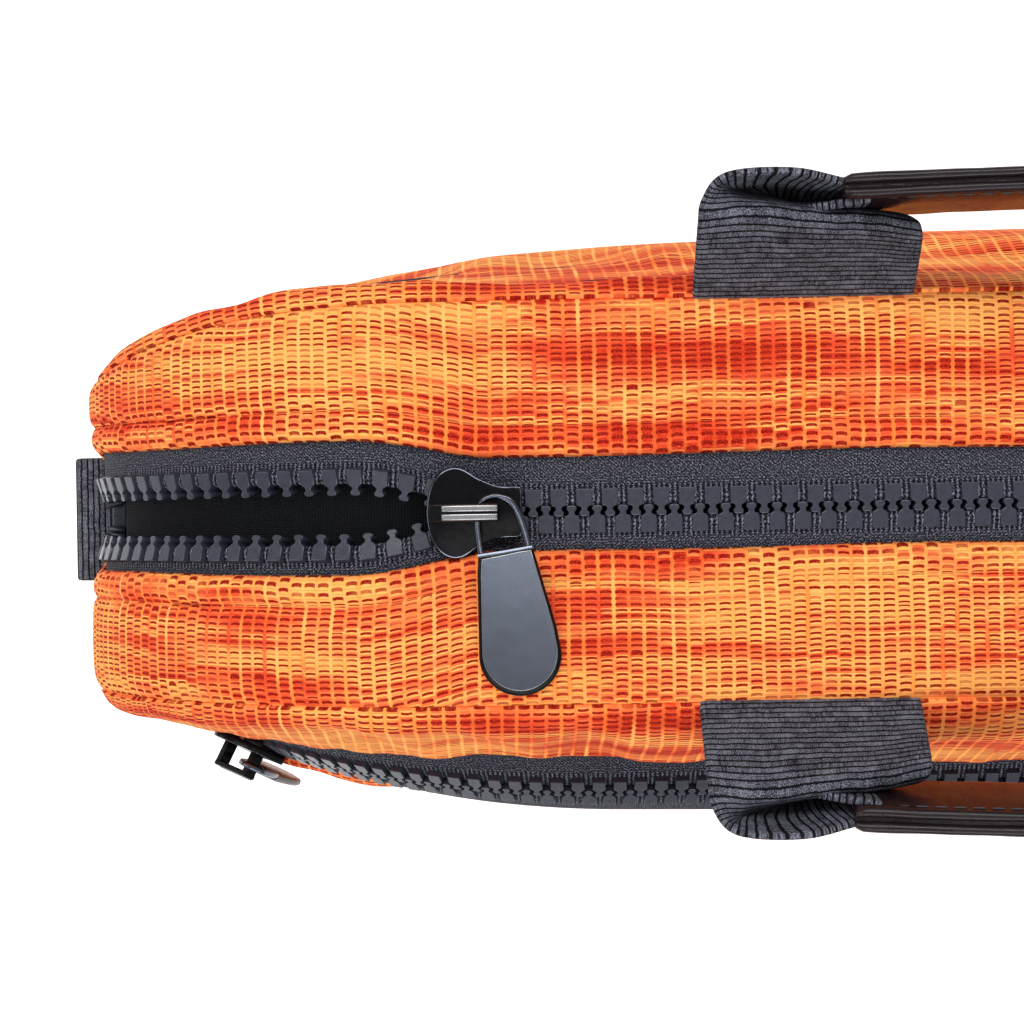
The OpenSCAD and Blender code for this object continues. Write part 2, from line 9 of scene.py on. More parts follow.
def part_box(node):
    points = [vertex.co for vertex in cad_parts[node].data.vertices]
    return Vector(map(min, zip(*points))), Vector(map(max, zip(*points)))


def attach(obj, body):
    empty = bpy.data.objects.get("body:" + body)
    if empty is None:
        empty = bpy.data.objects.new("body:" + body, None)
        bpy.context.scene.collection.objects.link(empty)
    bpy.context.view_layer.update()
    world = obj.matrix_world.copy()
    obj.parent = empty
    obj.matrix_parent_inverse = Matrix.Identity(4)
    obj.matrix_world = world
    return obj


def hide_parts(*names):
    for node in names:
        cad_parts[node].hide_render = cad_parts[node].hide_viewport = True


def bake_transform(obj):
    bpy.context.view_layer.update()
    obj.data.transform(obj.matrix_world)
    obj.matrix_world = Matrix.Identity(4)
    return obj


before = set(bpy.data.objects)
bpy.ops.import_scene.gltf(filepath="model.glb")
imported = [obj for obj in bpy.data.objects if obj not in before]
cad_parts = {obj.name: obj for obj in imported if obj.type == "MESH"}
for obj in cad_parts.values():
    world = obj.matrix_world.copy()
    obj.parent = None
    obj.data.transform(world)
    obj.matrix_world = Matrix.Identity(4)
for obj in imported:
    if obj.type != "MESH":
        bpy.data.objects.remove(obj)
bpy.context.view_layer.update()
MM = 0.001
scene = bpy.context.scene

# ---- Sizes, from the frame ----

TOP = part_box("top_band_rear")[1].z
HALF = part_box("rear_panel")[1].x
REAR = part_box("top_band_rear")[1].y
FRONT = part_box("top_band_front")[0].y
REAR_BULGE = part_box("rear_panel")[1].y - REAR - 1.3 * MM
FRONT_BULGE = 23.5 * MM
ZIP_END_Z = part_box("top_band_rear")[0].z
CORNER_X, CORNER_Z, CORNER_POWER = 65 * MM, 50 * MM, 1.6
BASE_R = 30 * MM
CLOTH = 1.2 * MM
END_NARROWING = 10 * MM
NARROW_FROM, NARROW_LOW, NARROW_HIGH = 140 * MM, 40 * MM, 220 * MM


def swell(u):
    """How far a stuffed panel stands out, from 0 at its seam to 1 in its middle."""
    return max(0.0, 1 - abs(u) ** 2.6) ** 0.62


def narrowing(x, z):
    """How far the rear seam comes in near the bag's ends."""
    share = max(0, abs(x) - NARROW_FROM) / (HALF - NARROW_FROM)
    return END_NARROWING * share**3 * min(1, max(0, z - NARROW_LOW) / (NARROW_HIGH - NARROW_LOW))


def seam_at(p, side):
    """Distance from the zip's line to the rear (1) or front (-1) seam, at a point on the outline."""
    return REAR - narrowing(p.x, p.z) if side > 0 else -FRONT


# ---- The bag's outline as a path, from the middle of its top ----


def half_outline():
    points = [(0, TOP)]
    for i in range(49):
        a = math.radians(90 * i / 48)
        e = 2 / CORNER_POWER
        points.append((HALF - CORNER_X + CORNER_X * math.sin(a) ** e,
                       TOP - CORNER_Z + CORNER_Z * max(0, math.cos(a)) ** e))
    for i in range(13):
        a = math.radians(90 * i / 12)
        points.append((HALF - BASE_R + BASE_R * math.cos(a), BASE_R - BASE_R * math.sin(a)))
    points.append((0, 0))
    return np.array(points)


outline = half_outline()
lengths = np.concatenate([[0], np.cumsum(np.linalg.norm(np.diff(outline, axis=0), axis=1))])
CORNER_END = lengths[49]
ZIP_END = CORNER_END + (TOP - CORNER_Z - ZIP_END_Z)
BASE_START = lengths[62]
PATH_END = lengths[-1]


def path(s):
    x = math.copysign(np.interp(abs(s), lengths, outline[:, 0]), s)
    return Vector((x, 0, np.interp(abs(s), lengths, outline[:, 1])))


def along(s):
    return (path(s + 2.5 * MM) - path(s - 2.5 * MM)).normalized()


def outward(s):
    t = along(s)
    return Vector((-t.z, 0, t.x))


def on_path(s, y, height):
    return path(s) + outward(s) * height + Vector((0, y, 0))


def top_edge(x):
    d = max(0, abs(x) - HALF + CORNER_X) / CORNER_X
    return TOP - CORNER_Z + CORNER_Z * max(0, 1 - min(1, d) ** CORNER_POWER) ** (1 / CORNER_POWER)


def base_edge(x):
    d = min(BASE_R, max(0, abs(x) - HALF + BASE_R))
    return BASE_R - math.sqrt(max(0, BASE_R**2 - d * d))


def bulge(x, z):
    top, base = top_edge(x), base_edge(x)
    return swell(x / HALF) * swell(2 * (z - base) / (top - base) - 1)


# ---- The main zip's rows: joined to the right of the slider, parted to its left ----

PLATE_HALF = 8.4 * MM
SLIDER_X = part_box("main_slider")[1].x - PLATE_HALF
OPEN_FROM = SLIDER_X + 1 * MM
OPEN_FULL = SLIDER_X - 22 * MM
PARTING = 4.6 * MM


def parted(s):
    if s > OPEN_FROM:
        return 0.0
    if s > OPEN_FULL:
        return PARTING * math.sin(math.pi / 2 * (OPEN_FROM - s) / (OPEN_FROM - OPEN_FULL)) ** 1.2
    if s < -CORNER_END:
        return PARTING * max(0, (s + ZIP_END) / (ZIP_END - CORNER_END))
    return PARTING


REAR_EDGE = 10.6 * MM
FRONT_EDGE = 7.6 * MM


def band_edge(s, side):
    waver = 0.5 * MM * noise.noise(Vector((s * 22, side * 3.1, 0.4)))
    if side > 0:
        return REAR_EDGE + 0.65 * parted(s) + waver
    return FRONT_EDGE + 0.75 * parted(s) + waver


# ---- Node materials ----


class Value:
    """A value in a material's nodes, so that sums of them can be written as sums."""

    def __init__(self, shader, socket):
        self.shader = shader
        self.socket = socket

    def apply(self, operation, *others):
        return self.shader.math(operation, self, *others)

    def __add__(self, other):
        return self.apply("ADD", other)

    def __sub__(self, other):
        return self.apply("SUBTRACT", other)

    def __rsub__(self, other):
        return self.shader.math("SUBTRACT", other, self)

    def __mul__(self, other):
        return self.apply("MULTIPLY", other)

    def __truediv__(self, other):
        return self.apply("DIVIDE", other)

    def __abs__(self):
        return self.apply("ABSOLUTE")

    def floor(self):
        return self.apply("FLOOR")

    def from_middle(self):
        """Place inside its unit cell, -0.5 to 0.5."""
        return self.apply("FRACT") - 0.5

    def sine(self, period):
        return (self * (2 * math.pi / period)).apply("SINE")

    def cosine(self, period):
        return (self * (2 * math.pi / period)).apply("COSINE")

    def step(self, low, high):
        """A smooth step, 0 at low and 1 at high."""
        made = self.shader.node("ShaderNodeMapRange", interpolation_type="SMOOTHSTEP")
        self.shader.join(self, made.inputs["Value"])
        made.inputs["From Min"].default_value = low
        made.inputs["From Max"].default_value = high
        return Value(self.shader, made.outputs["Result"])


class Shader:
    """A node material, built with few words. A value is a Value, a number or a colour."""

    def __init__(self, name):
        self.material = bpy.data.materials.new(name)
        self.material.use_nodes = True
        self.nodes = self.material.node_tree.nodes
        self.links = self.material.node_tree.links
        self.surface = self.nodes["Principled BSDF"]

    def join(self, value, socket):
        if isinstance(value, Value):
            self.links.new(value.socket, socket)
        elif socket.type == "RGBA":
            socket.default_value = (*value, 1)
        else:
            socket.default_value = value

    def node(self, kind, **settings):
        made = self.nodes.new(kind)
        for key, value in settings.items():
            setattr(made, key, value)
        return made

    def math(self, operation, *values):
        made = self.node("ShaderNodeMath", operation=operation)
        for value, socket in zip(values, made.inputs):
            self.join(value, socket)
        return Value(self, made.outputs[0])

    def mix(self, factor, a, b):
        made = self.node("ShaderNodeMix", data_type="RGBA")
        self.join(factor, made.inputs[0])
        self.join(a, made.inputs[6])
        self.join(b, made.inputs[7])
        return Value(self, made.outputs[2])

    def noise(self, place, scale, detail):
        """Noise at a place, which is one Value or x, y and z."""
        if isinstance(place, tuple):
            made = self.node("ShaderNodeCombineXYZ")
            for value, socket in zip(place, made.inputs):
                self.join(value, socket)
            place = Value(self, made.outputs[0])
        made = self.node("ShaderNodeTexNoise")
        self.join(place, made.inputs["Vector"])
        made.inputs["Scale"].default_value = scale
        made.inputs["Detail"].default_value = detail
        return Value(self, made.outputs["Fac"])

    def ramp(self, value, stops):
        made = self.node("ShaderNodeValToRGB")
        self.join(value, made.inputs["Fac"])
        ramp = made.color_ramp
        while len(ramp.elements) < len(stops):
            ramp.elements.new(0.5)
        for element, (place, colour) in zip(ramp.elements, stops):
            element.position = place
            element.color = (*colour, 1)
        return Value(self, made.outputs["Color"])

    def cloth_place(self):
        """The weave's own coordinates, in metres along the cloth."""
        uv = self.node("ShaderNodeUVMap", uv_map="weave")
        split = self.node("ShaderNodeSeparateXYZ")
        self.links.new(uv.outputs["UV"], split.inputs[0])
        return Value(self, split.outputs[0]), Value(self, split.outputs[1])

    def object_place(self):
        return Value(self, self.node("ShaderNodeTexCoord").outputs["Object"])

    def finish(self, colour, roughness, height=None, distance=0.0001, **sockets):
        self.join(colour, self.surface.inputs["Base Color"])
        self.join(roughness, self.surface.inputs["Roughness"])
        for key, value in sockets.items():
            self.surface.inputs[key.replace("_", " ")].default_value = value
        if height is not None:
            bump = self.node("ShaderNodeBump")
            bump.inputs["Distance"].default_value = distance
            self.join(height, bump.inputs["Height"])
            self.links.new(bump.outputs["Normal"], self.surface.inputs["Normal"])
        return self.material


def weave(shader, u, v, pitch_u, pitch_v, lift):
    """Plain weave: how high the upper yarn is, and the numbers of the two yarns that cross there."""
    across = u / pitch_u
    down = v / pitch_v
    i = across.floor()
    j = down.floor()
    warp = (down + i - 0.5).cosine(2) * lift + across.from_middle().cosine(2 / 0.92)
    weft = (across + j + 0.5).cosine(2) * lift + down.from_middle().cosine(2 / 0.92)
    return shader.math("MAXIMUM", warp, weft), i, j


WARP_PITCH = 0.00254
WEFT_PITCH = 0.00097


def heather_cloth():
    """Heathered cloth: yellow warp cords over a ladder of short, dark maroon gaps between streaky weft
    yarns; the gaps' maroon is partly dark yarn and partly painted shade.
    """
    shader = Shader("heather_cloth")
    u, v = shader.cloth_place()
    waver = shader.noise((u, v, 0.0), 70, 1.0)
    u = waver * 0.0006 + u
    v = waver * 0.0009 + v
    across = u / WARP_PITCH
    down = v / WEFT_PITCH
    i = (across + 0.5).floor()
    cell = across.floor()
    # In patches, the gaps of every other column are half a row lower
    shifted = shader.noise((cell * 0.31, v * 60, 5.0), 1.0, 0.0).step(0.47, 0.5)
    down = shifted * cell.apply("FLOORED_MODULO", 2) * 0.5 + down
    j = down.floor()
    in_row = down.from_middle()
    in_cell = across.from_middle()
    # The gaps: short, narrow, bowed and dark, one a row between two cords; their darkness is partly dark
    # yarn and partly painted shade
    bowed = in_row + (in_cell * in_cell * 0.7 - 0.06)
    gap = abs(bowed).step(0.26, 0.13) * abs(in_cell).step(0.43, 0.34)
    slow = shader.noise((u * 9, v * 150, 8.0), 1.0, 1.5)
    broad = shader.noise((u * 22, v * 34, 3.0), 1.0, 1.5)
    deep = shader.noise((across * 0.22, j * 3.7, 2.0), 1.0, 1.0)
    depth = (deep + (0.5 - slow) * 0.7).step(0.28, 0.5) * 0.5 + 0.5
    # The weft: each yarn has its own tone, and tones drift in streaks along it
    row = shader.noise((across * 0.11, j * 5.3, 9.0), 1.0, 1.5)
    tone = (slow - 0.5) * 0.75 + row + (broad - 0.5) * 0.5
    colour = shader.ramp(tone, [(0.26, (0.5, 0.018, 0.005)), (0.37, (0.78, 0.08, 0.025)),
                                (0.48, (0.93, 0.19, 0.055)), (0.6, (1.0, 0.4, 0.1))])
    # Painted shade: the gaps are darkened to deep maroon, more in some patches (depth)
    colour = shader.mix(gap * depth, colour, (0.25, 0.002, 0.0005))
    # The warp cords, paler and broken here and there
    cord_tone = shader.noise((i * 4.1, v * 45, 2.0), 1.0, 1.5)
    cord_tone = cord_tone + (slow - 0.5) * 0.45 + (broad - 0.5) * 0.45
    cord_colour = shader.ramp(cord_tone, [(0.32, (0.66, 0.05, 0.015)), (0.42, (0.9, 0.17, 0.03)),
                                          (0.52, (0.97, 0.29, 0.055)), (0.64, (1.0, 0.42, 0.11))])
    cord_width = in_row.cosine(1) * -0.04 + 0.135
    plain = shader.noise((i * 2.3, v * 90, 12.0), 1.0, 1.0)
    cord = (abs(across - i) - cord_width).step(0.05, -0.05) * (plain.step(0.42, 0.6) * 0.6 + 0.3)
    colour = shader.mix(cord, colour, cord_colour)
    # Painted shade along the top and bottom edges of each weft row, less over the cords
    seam = abs(in_row).step(0.43, 0.5) * (1.0 - cord * 0.5)
    colour = shader.mix(seam * 0.3, colour, (0.6, 0.05, 0.012))
    # Fine pale peach specks: painted sheen on the fibre fuzz, which also roughens the bump
    fuzz_and_sheen = shader.noise((u, v, 0.0), 5200, 1.0)
    colour = shader.mix(fuzz_and_sheen.step(0.52, 0.75) * 0.22, colour, (1.0, 0.42, 0.16))
    height = (1.0 - gap * 0.9) * (seam * -0.5 + 1.0) + cord * 0.4 + fuzz_and_sheen * 0.3
    return shader.finish(colour, 0.85, height, 0.00016, Specular_IOR_Level=0.08)


def lining_cloth():
    """A plain, nearly black weave, for the lining and the pouch."""
    shader = Shader("black_lining")
    u, v = shader.cloth_place()
    height, i, j = weave(shader, u, v, 0.0006, 0.0004, 0.55)
    tone = shader.noise((i * 2.3, j * 1.7, 0.0), 1.0, 1.0)
    base = shader.ramp(tone, [(0.3, (0.004, 0.0045, 0.006)), (0.7, (0.0076, 0.00855, 0.0114))])
    # Painted shade: darker where the yarn dips between crossings
    base = shader.mix(height.step(1.2, 0.75), base, (0.001, 0.001125, 0.0015))
    return shader.finish(base, 0.85, height, 0.00012, Specular_IOR_Level=0.12)


def tape_cloth():
    """Zip tape: fine twill, with short ribs beside the teeth. The weave's v is 0 at the teeth."""
    shader = Shader("zip_tape")
    u, v = shader.cloth_place()
    twill = (u / 0.0007 + v / 0.0006).sine(1)
    near = v.step(0.0036, 0.0029)
    middle = v.step(0.0056, 0.0040)
    height = v.sine(0.00048) * middle * 0.45 + twill * 0.5 + u.sine(0.00088) * near * 1.3
    grain = shader.noise((u, v, 0.0), 3600, 1.5)
    # The colour follows the rib and twill height: painted shade in the grooves, painted light on the ribs
    colour = shader.ramp(height * 0.1 + grain, [(0.36, (0.002, 0.002, 0.004)), (0.52, (0.022, 0.023, 0.034)),
                                                (0.7, (0.17, 0.175, 0.215))])
    return shader.finish(colour, 0.75, height, 0.0001, Specular_IOR_Level=0.15)


def webbing_cloth():
    """Ribbed webbing: cords across the strap, with painted light on the cords and painted shade in the gaps
    between them, and specks of light thread on top.
    """
    shader = Shader("webbing")
    cord_pitch = 0.00112
    u, v = shader.cloth_place()
    v = shader.noise((u, v, 0.0), 240, 1.0) * 0.0005 + v
    height, i, j = weave(shader, u, v, 0.00045, cord_pitch, 0.3)
    cord = abs(v.sine(2 * cord_pitch)).step(0.02, 0.6)
    thread_tone = shader.noise((i * 1.7, j * 2.9, 1.0), 1.0, 0.0)
    run = shader.noise((i * 0.12, j * 4.9, 6.0), 1.0, 1.0)
    grain = shader.noise((u, v, 0.0), 5200, 1.0)
    # cord adds painted light on the cords and leaves painted shade in the gaps between them
    tone = thread_tone * 0.16 + cord * 0.25 + run * 0.2 + grain * 0.6
    colour = shader.ramp(tone, [(0.5, (0.001, 0.001, 0.002)), (0.66, (0.013, 0.0135, 0.019)),
                                (0.84, (0.17, 0.175, 0.215))])
    return shader.finish(colour, 0.7, height * 0.2 + cord, 0.00018, Specular_IOR_Level=0.1)


def plastic(name, colour, roughness, gloss):
    """Moulded zip plastic, with the faint mottle of the mould."""
    shader = Shader(name)
    mottle = shader.noise(shader.object_place(), 900, 3.0)
    tint = shader.mix(mottle, colour, [c * 1.6 for c in colour])
    return shader.finish(tint, mottle * 0.2 + (roughness - 0.1), mottle, 0.00003, Specular_IOR_Level=gloss)


def metal(name, colour, roughness):
    """Plated metal, brushed along its length and rubbed a little."""
    shader = Shader(name)
    place = shader.object_place()
    stretch = shader.node("ShaderNodeMapping")
    shader.join(place, stretch.inputs["Vector"])
    stretch.inputs["Scale"].default_value = (1.0, 0.12, 1.0)
    lines = shader.noise(Value(shader, stretch.outputs["Vector"]), 9000, 2.0)
    cloud = shader.noise(place, 320, 3.0)
    tint = shader.mix(cloud, colour, [min(1, c * 1.35) for c in colour])
    return shader.finish(tint, lines * 0.22 + (roughness - 0.11), lines * 0.06, 0.0001, Metallic=1.0)


def leather():
    """Glossy black leather with soft dents and fine creases."""
    shader = Shader("black_leather")
    place = shader.object_place()
    cells = shader.node("ShaderNodeTexVoronoi", feature="DISTANCE_TO_EDGE")
    shader.join(place, cells.inputs["Vector"])
    cells.inputs["Scale"].default_value = 900
    crease = Value(shader, cells.outputs["Distance"]).step(0.0, 0.1)
    soft = shader.noise(place, 180, 3.0)
    colour = shader.mix(soft, (0.006, 0.003, 0.004), (0.014, 0.007, 0.009))
    return shader.finish(colour, soft * 0.2 + 0.16, soft + crease * 0.12, 0.0001, Specular_IOR_Level=0.25)


def thread(name, colour):
    """Twisted sewing thread."""
    shader = Shader(name)
    twist = shader.noise(shader.object_place(), 5000, 1.0)
    return shader.finish(shader.mix(twist, [c * 0.6 for c in colour], colour), 0.6, twist, 0.00005)


def sand_grains():
    shader = Shader("sand")
    grain = shader.noise(shader.object_place(), 1500, 4.0)
    colour = shader.ramp(grain, [(0.3, (0.28, 0.19, 0.1)), (0.5, (0.6, 0.46, 0.28)),
                                 (0.72, (0.82, 0.72, 0.52))])
    return shader.finish(colour, 0.95, grain, 0.0006)


CLOTH_LOOK = heather_cloth()
TAPE_LOOK = tape_cloth()
LINING_LOOK = lining_cloth()
WEBBING_LOOK = webbing_cloth()
TEETH_LOOK = plastic("zip_teeth", (0.019, 0.021, 0.031), 0.3, 0.4)
PLATE_LOOK = plastic("black_plate", (0.002, 0.002, 0.003), 0.24, 0.12)
PULL_LOOK = metal("gunmetal", (0.085, 0.095, 0.12), 0.2)
# A lighter metal, for the painted highlight line on the pull's tongue and the two bright strips on the
# slider's bridge
RIM_LOOK = metal("bright_rim", (0.24, 0.24, 0.25), 0.3)
LEATHER_LOOK = leather()
SEAM_THREAD = thread("red_thread", (0.55, 0.03, 0.01))
BLACK_THREAD = thread("black_thread", (0.03, 0.03, 0.035))
SAND_LOOK = sand_grains()

# ---- Mesh helpers ----


def add_object(name, mesh, look):
    piece = bpy.data.objects.new(name, mesh)
    scene.collection.objects.link(piece)
    mesh.materials.clear()
    mesh.materials.append(look)
    mesh.shade_smooth()
    return piece


def sheet_mesh(name, points, places):
    """A mesh over a grid of points, with the weave's coordinates of each point."""
    n, m = len(points), len(points[0])
    faces = [(i * m + j, i * m + j + 1, (i + 1) * m + j + 1, (i + 1) * m + j)
             for i in range(n - 1) for j in range(m - 1)]
    mesh = bpy.data.meshes.new(name)
    mesh.from_pydata([tuple(p) for row in points for p in row], [], faces)
    corner = np.zeros(len(mesh.loops), int)
    mesh.loops.foreach_get("vertex_index", corner)
    flat = np.array([place for row in places for place in row], float)
    layer = mesh.uv_layers.new(name="weave")
    layer.data.foreach_set("uv", flat[corner].ravel())
    return mesh


def settle_mesh(piece):
    """Applies a piece's modifiers to its mesh."""
    bpy.context.view_layer.update()
    ready = piece.evaluated_get(bpy.context.evaluated_depsgraph_get())
    mesh = bpy.data.meshes.new_from_object(ready)
    mesh.name = piece.data.name
    piece.modifiers.clear()
    piece.data = mesh
    return piece


def declare(piece, body, node, slot, *also_replaced):
    """Puts the piece on its body and hides the CAD nodes it stands for; slot is not used."""
    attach(piece, body)
    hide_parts(node, *also_replaced)


def cloth_piece(name, points, places, look, thickness, flip=False, smooth=0):
    """A sheet with thickness, its skin where the points are and its back on the inner side."""
    if flip:
        points = [row[::-1] for row in points]
        places = [row[::-1] for row in places]
    piece = add_object(name, sheet_mesh(name, points, places), look)
    if smooth:
        modifier = piece.modifiers.new("smooth", "SUBSURF")
        modifier.levels = modifier.render_levels = smooth
    modifier = piece.modifiers.new("thickness", "SOLIDIFY")
    modifier.thickness = thickness
    modifier.offset = -1
    modifier.use_even_offset = True
    return settle_mesh(piece)


def piece_from_curve(name, curve, look):
    """A piece with the mesh of a curve."""
    maker = bpy.data.objects.new(name + "_curve", curve)
    scene.collection.objects.link(maker)
    bpy.context.view_layer.update()
    mesh = bpy.data.meshes.new_from_object(maker.evaluated_get(bpy.context.evaluated_depsgraph_get()))
    bpy.data.objects.remove(maker)
    mesh.name = name
    return add_object(name, mesh, look)


def webbing_piece(name, points, places):
    """A piece of webbing, its thickness about its points."""
    piece = add_object(name, sheet_mesh(name, points, places), WEBBING_LOOK)
    modifier = piece.modifiers.new("thickness", "SOLIDIFY")
    modifier.thickness = WEB_THICK
    modifier.offset = 0
    modifier = piece.modifiers.new("smooth", "SUBSURF")
    modifier.levels = modifier.render_levels = 1
    return settle_mesh(piece)


def prism(name, outline_points, thickness, bevel, look, steps=2):
    """A flat plate from a closed outline, with rounded edges, about z = 0."""
    curve = bpy.data.curves.new(name, "CURVE")
    curve.dimensions = "2D"
    curve.fill_mode = "BOTH"
    spline = curve.splines.new("POLY")
    spline.points.add(len(outline_points) - 1)
    for point, (x, y) in zip(spline.points, outline_points):
        point.co = (x, y, 0, 1)
    spline.use_cyclic_u = True
    curve.extrude = thickness / 2 - bevel
    curve.bevel_depth = bevel
    curve.bevel_resolution = steps
    curve.offset = -bevel
    piece = piece_from_curve(name, curve, look)
    flatten_shading(piece)
    return piece


def rings_mesh(name, rings, look, flip=False):
    """A skin over rings of equal counts, capped at both ends."""
    n = len(rings[0])
    faces = [tuple(range(n - 1, -1, -1)), tuple((len(rings) - 1) * n + k for k in range(n))]
    for i in range(len(rings) - 1):
        for k in range(n):
            j = (k + 1) % n
            faces.append((i * n + k, i * n + j, (i + 1) * n + j, (i + 1) * n + k))
    if flip:
        faces = [face[::-1] for face in faces]
    mesh = bpy.data.meshes.new(name)
    mesh.from_pydata([tuple(p) for ring in rings for p in ring], [], faces)
    return add_object(name, mesh, look)


def bevelled(name, outline_points, thickness, bevel, look, steps=4, height=None):
    """A plate inside one closed outline, its edges rounded. height(x, y) lifts its middle plane."""
    points = np.array(outline_points, float)
    edges = np.roll(points, -1, axis=0) - points
    normals = np.stack([edges[:, 1], -edges[:, 0]], axis=1) / np.linalg.norm(edges, axis=1)[:, None]
    before = np.roll(normals, 1, axis=0)
    outward_way = (normals + before) / np.maximum(0.4, 1 + np.sum(normals * before, axis=1))[:, None]
    rings = []
    for k in range(2 * steps + 1):
        a = math.pi / 2 * (k / steps - 1)
        flat = points - outward_way * bevel * (1 - math.cos(a))
        z = bevel * math.sin(a) + math.copysign(thickness / 2 - bevel, a) if k != steps else 0.0
        rings.append([(x, y, z + (height(x, y) if height else 0)) for x, y in flat])
    piece = rings_mesh(name, rings, look)
    flatten_shading(piece)
    return piece


def flatten_shading(piece, angle=35):
    """Keeps edges sharper than the angle crisp."""
    mesh = piece.data
    mesh.shade_smooth()
    mesh.set_sharp_from_angle(angle=math.radians(angle))


def joined(name, pieces):
    """One piece from several, each with its own transform and materials."""
    bpy.context.view_layer.update()
    vertices, faces, looks, owner, smooth = [], [], [], [], []
    for piece in pieces:
        start = len(vertices)
        vertices += [tuple(piece.matrix_world @ v.co) for v in piece.data.vertices]
        mirrored = piece.matrix_world.determinant() < 0
        numbers = []
        for material in piece.data.materials:
            if material not in looks:
                looks.append(material)
            numbers.append(looks.index(material))
        for face in piece.data.polygons:
            order = [start + k for k in face.vertices]
            faces.append(order[::-1] if mirrored else order)
            owner.append(numbers[face.material_index])
            smooth.append(face.use_smooth)
    mesh = bpy.data.meshes.new(name)
    mesh.from_pydata(vertices, [], faces)
    for look in looks:
        mesh.materials.append(look)
    mesh.polygons.foreach_set("material_index", owner)
    mesh.polygons.foreach_set("use_smooth", smooth)
    for piece in pieces:
        bpy.data.objects.remove(piece)
    result = bpy.data.objects.new(name, mesh)
    scene.collection.objects.link(result)
    flatten_shading(result)
    return result


def axes_at(p, t, n):
    """A frame at p with X along t and Z near n."""
    y = n.cross(t).normalized()
    z = t.cross(y)
    return Matrix(((t.x, y.x, z.x, p.x), (t.y, y.y, z.y, p.y), (t.z, y.z, z.z, p.z), (0, 0, 0, 1)))


def copies(name, source, places):
    """One mesh with a copy of source's mesh at each place, and source removed."""
    vertices = np.array([v.co for v in source.data.vertices])
    faces = [tuple(f.vertices) for f in source.data.polygons]
    all_vertices, all_faces = [], []
    for k, place in enumerate(places):
        m = np.array(place)
        all_vertices.append(vertices @ m[:3, :3].T + m[:3, 3])
        start = k * len(vertices)
        turned = place.determinant() < 0
        all_faces += [tuple(start + v for v in (f[::-1] if turned else f)) for f in faces]
    mesh = bpy.data.meshes.new(name)
    mesh.from_pydata(np.concatenate(all_vertices).tolist(), [], all_faces)
    piece = add_object(name, mesh, source.data.materials[0])
    flatten_shading(piece)
    bpy.data.objects.remove(source)
    return piece


def curved(points, count):
    """Points along a smooth curve through the given ones."""
    p = np.array(points, float)
    ends = np.vstack([2 * p[0] - p[1], p, 2 * p[-1] - p[-2]])
    result = []
    for k in range(count + 1):
        t = k / count * (len(p) - 1)
        i = min(int(t), len(p) - 2)
        f = t - i
        a, b, c, d = ends[i : i + 4]
        square = (2 * a - 5 * b + 4 * c - d) * f**2
        cube = (3 * b - 3 * c + d - a) * f**3
        result.append(0.5 * (2 * b + (c - a) * f + square + cube))
    return result


def stitches(name, places, look, length=2.3 * MM, radius=0.22 * MM):
    """A row of stitches, each a small capsule lying along its frame's X."""
    rings = []
    for i in range(7):
        a = math.pi * i / 6
        r = radius * max(0.25, math.sin(a)) ** 0.5
        round_it = [math.radians(b) for b in range(0, 360, 60)]
        rings.append([(-math.cos(a) * length / 2, r * math.cos(b), r * math.sin(b)) for b in round_it])
    return copies(name, rings_mesh(name + "_one", rings, look), places)


def cloth_sim(mesh, held, pressure, spare, cap, frames=16):
    """Blender's cloth on a sheet held at the listed vertices. spare is the share of extra cloth."""
    sheet = bpy.data.objects.new("cloth_trial", mesh)
    scene.collection.objects.link(sheet)
    start = np.array([v.co for v in mesh.vertices])
    group = sheet.vertex_groups.new(name="held")
    group.add(held, 1.0, "REPLACE")
    modifier = sheet.modifiers.new("cloth", "CLOTH")
    settings = modifier.settings
    settings.quality = 6
    settings.mass = 0.15
    settings.tension_stiffness = settings.compression_stiffness = 20
    settings.shear_stiffness = 12
    settings.bending_stiffness = 0.6
    settings.vertex_group_mass = "held"
    settings.use_pressure = True
    settings.uniform_pressure_force = pressure
    settings.shrink_min = -spare
    settings.effector_weights.gravity = 0
    modifier.collision_settings.use_collision = False
    modifier.point_cache.frame_start = 1
    modifier.point_cache.frame_end = frames
    for f in range(1, frames + 1):
        scene.frame_set(f)
    ready = sheet.evaluated_get(bpy.context.evaluated_depsgraph_get())
    end = np.array([v.co for v in ready.data.vertices])
    move = end - start
    size = np.linalg.norm(move, axis=1, keepdims=True)
    move *= np.tanh(size / cap) * cap / np.maximum(size, 1e-9)
    scene.frame_set(1)
    bpy.data.objects.remove(sheet)
    return start + move


# ---- Cover panels ----


def slack(x, side):
    """How far a panel falls short of full, most towards the bag's ends."""
    share = (abs(x) / HALF) ** 5
    return (2.6 + 0.6 * share) * MM if side > 0 else 0.4 * MM


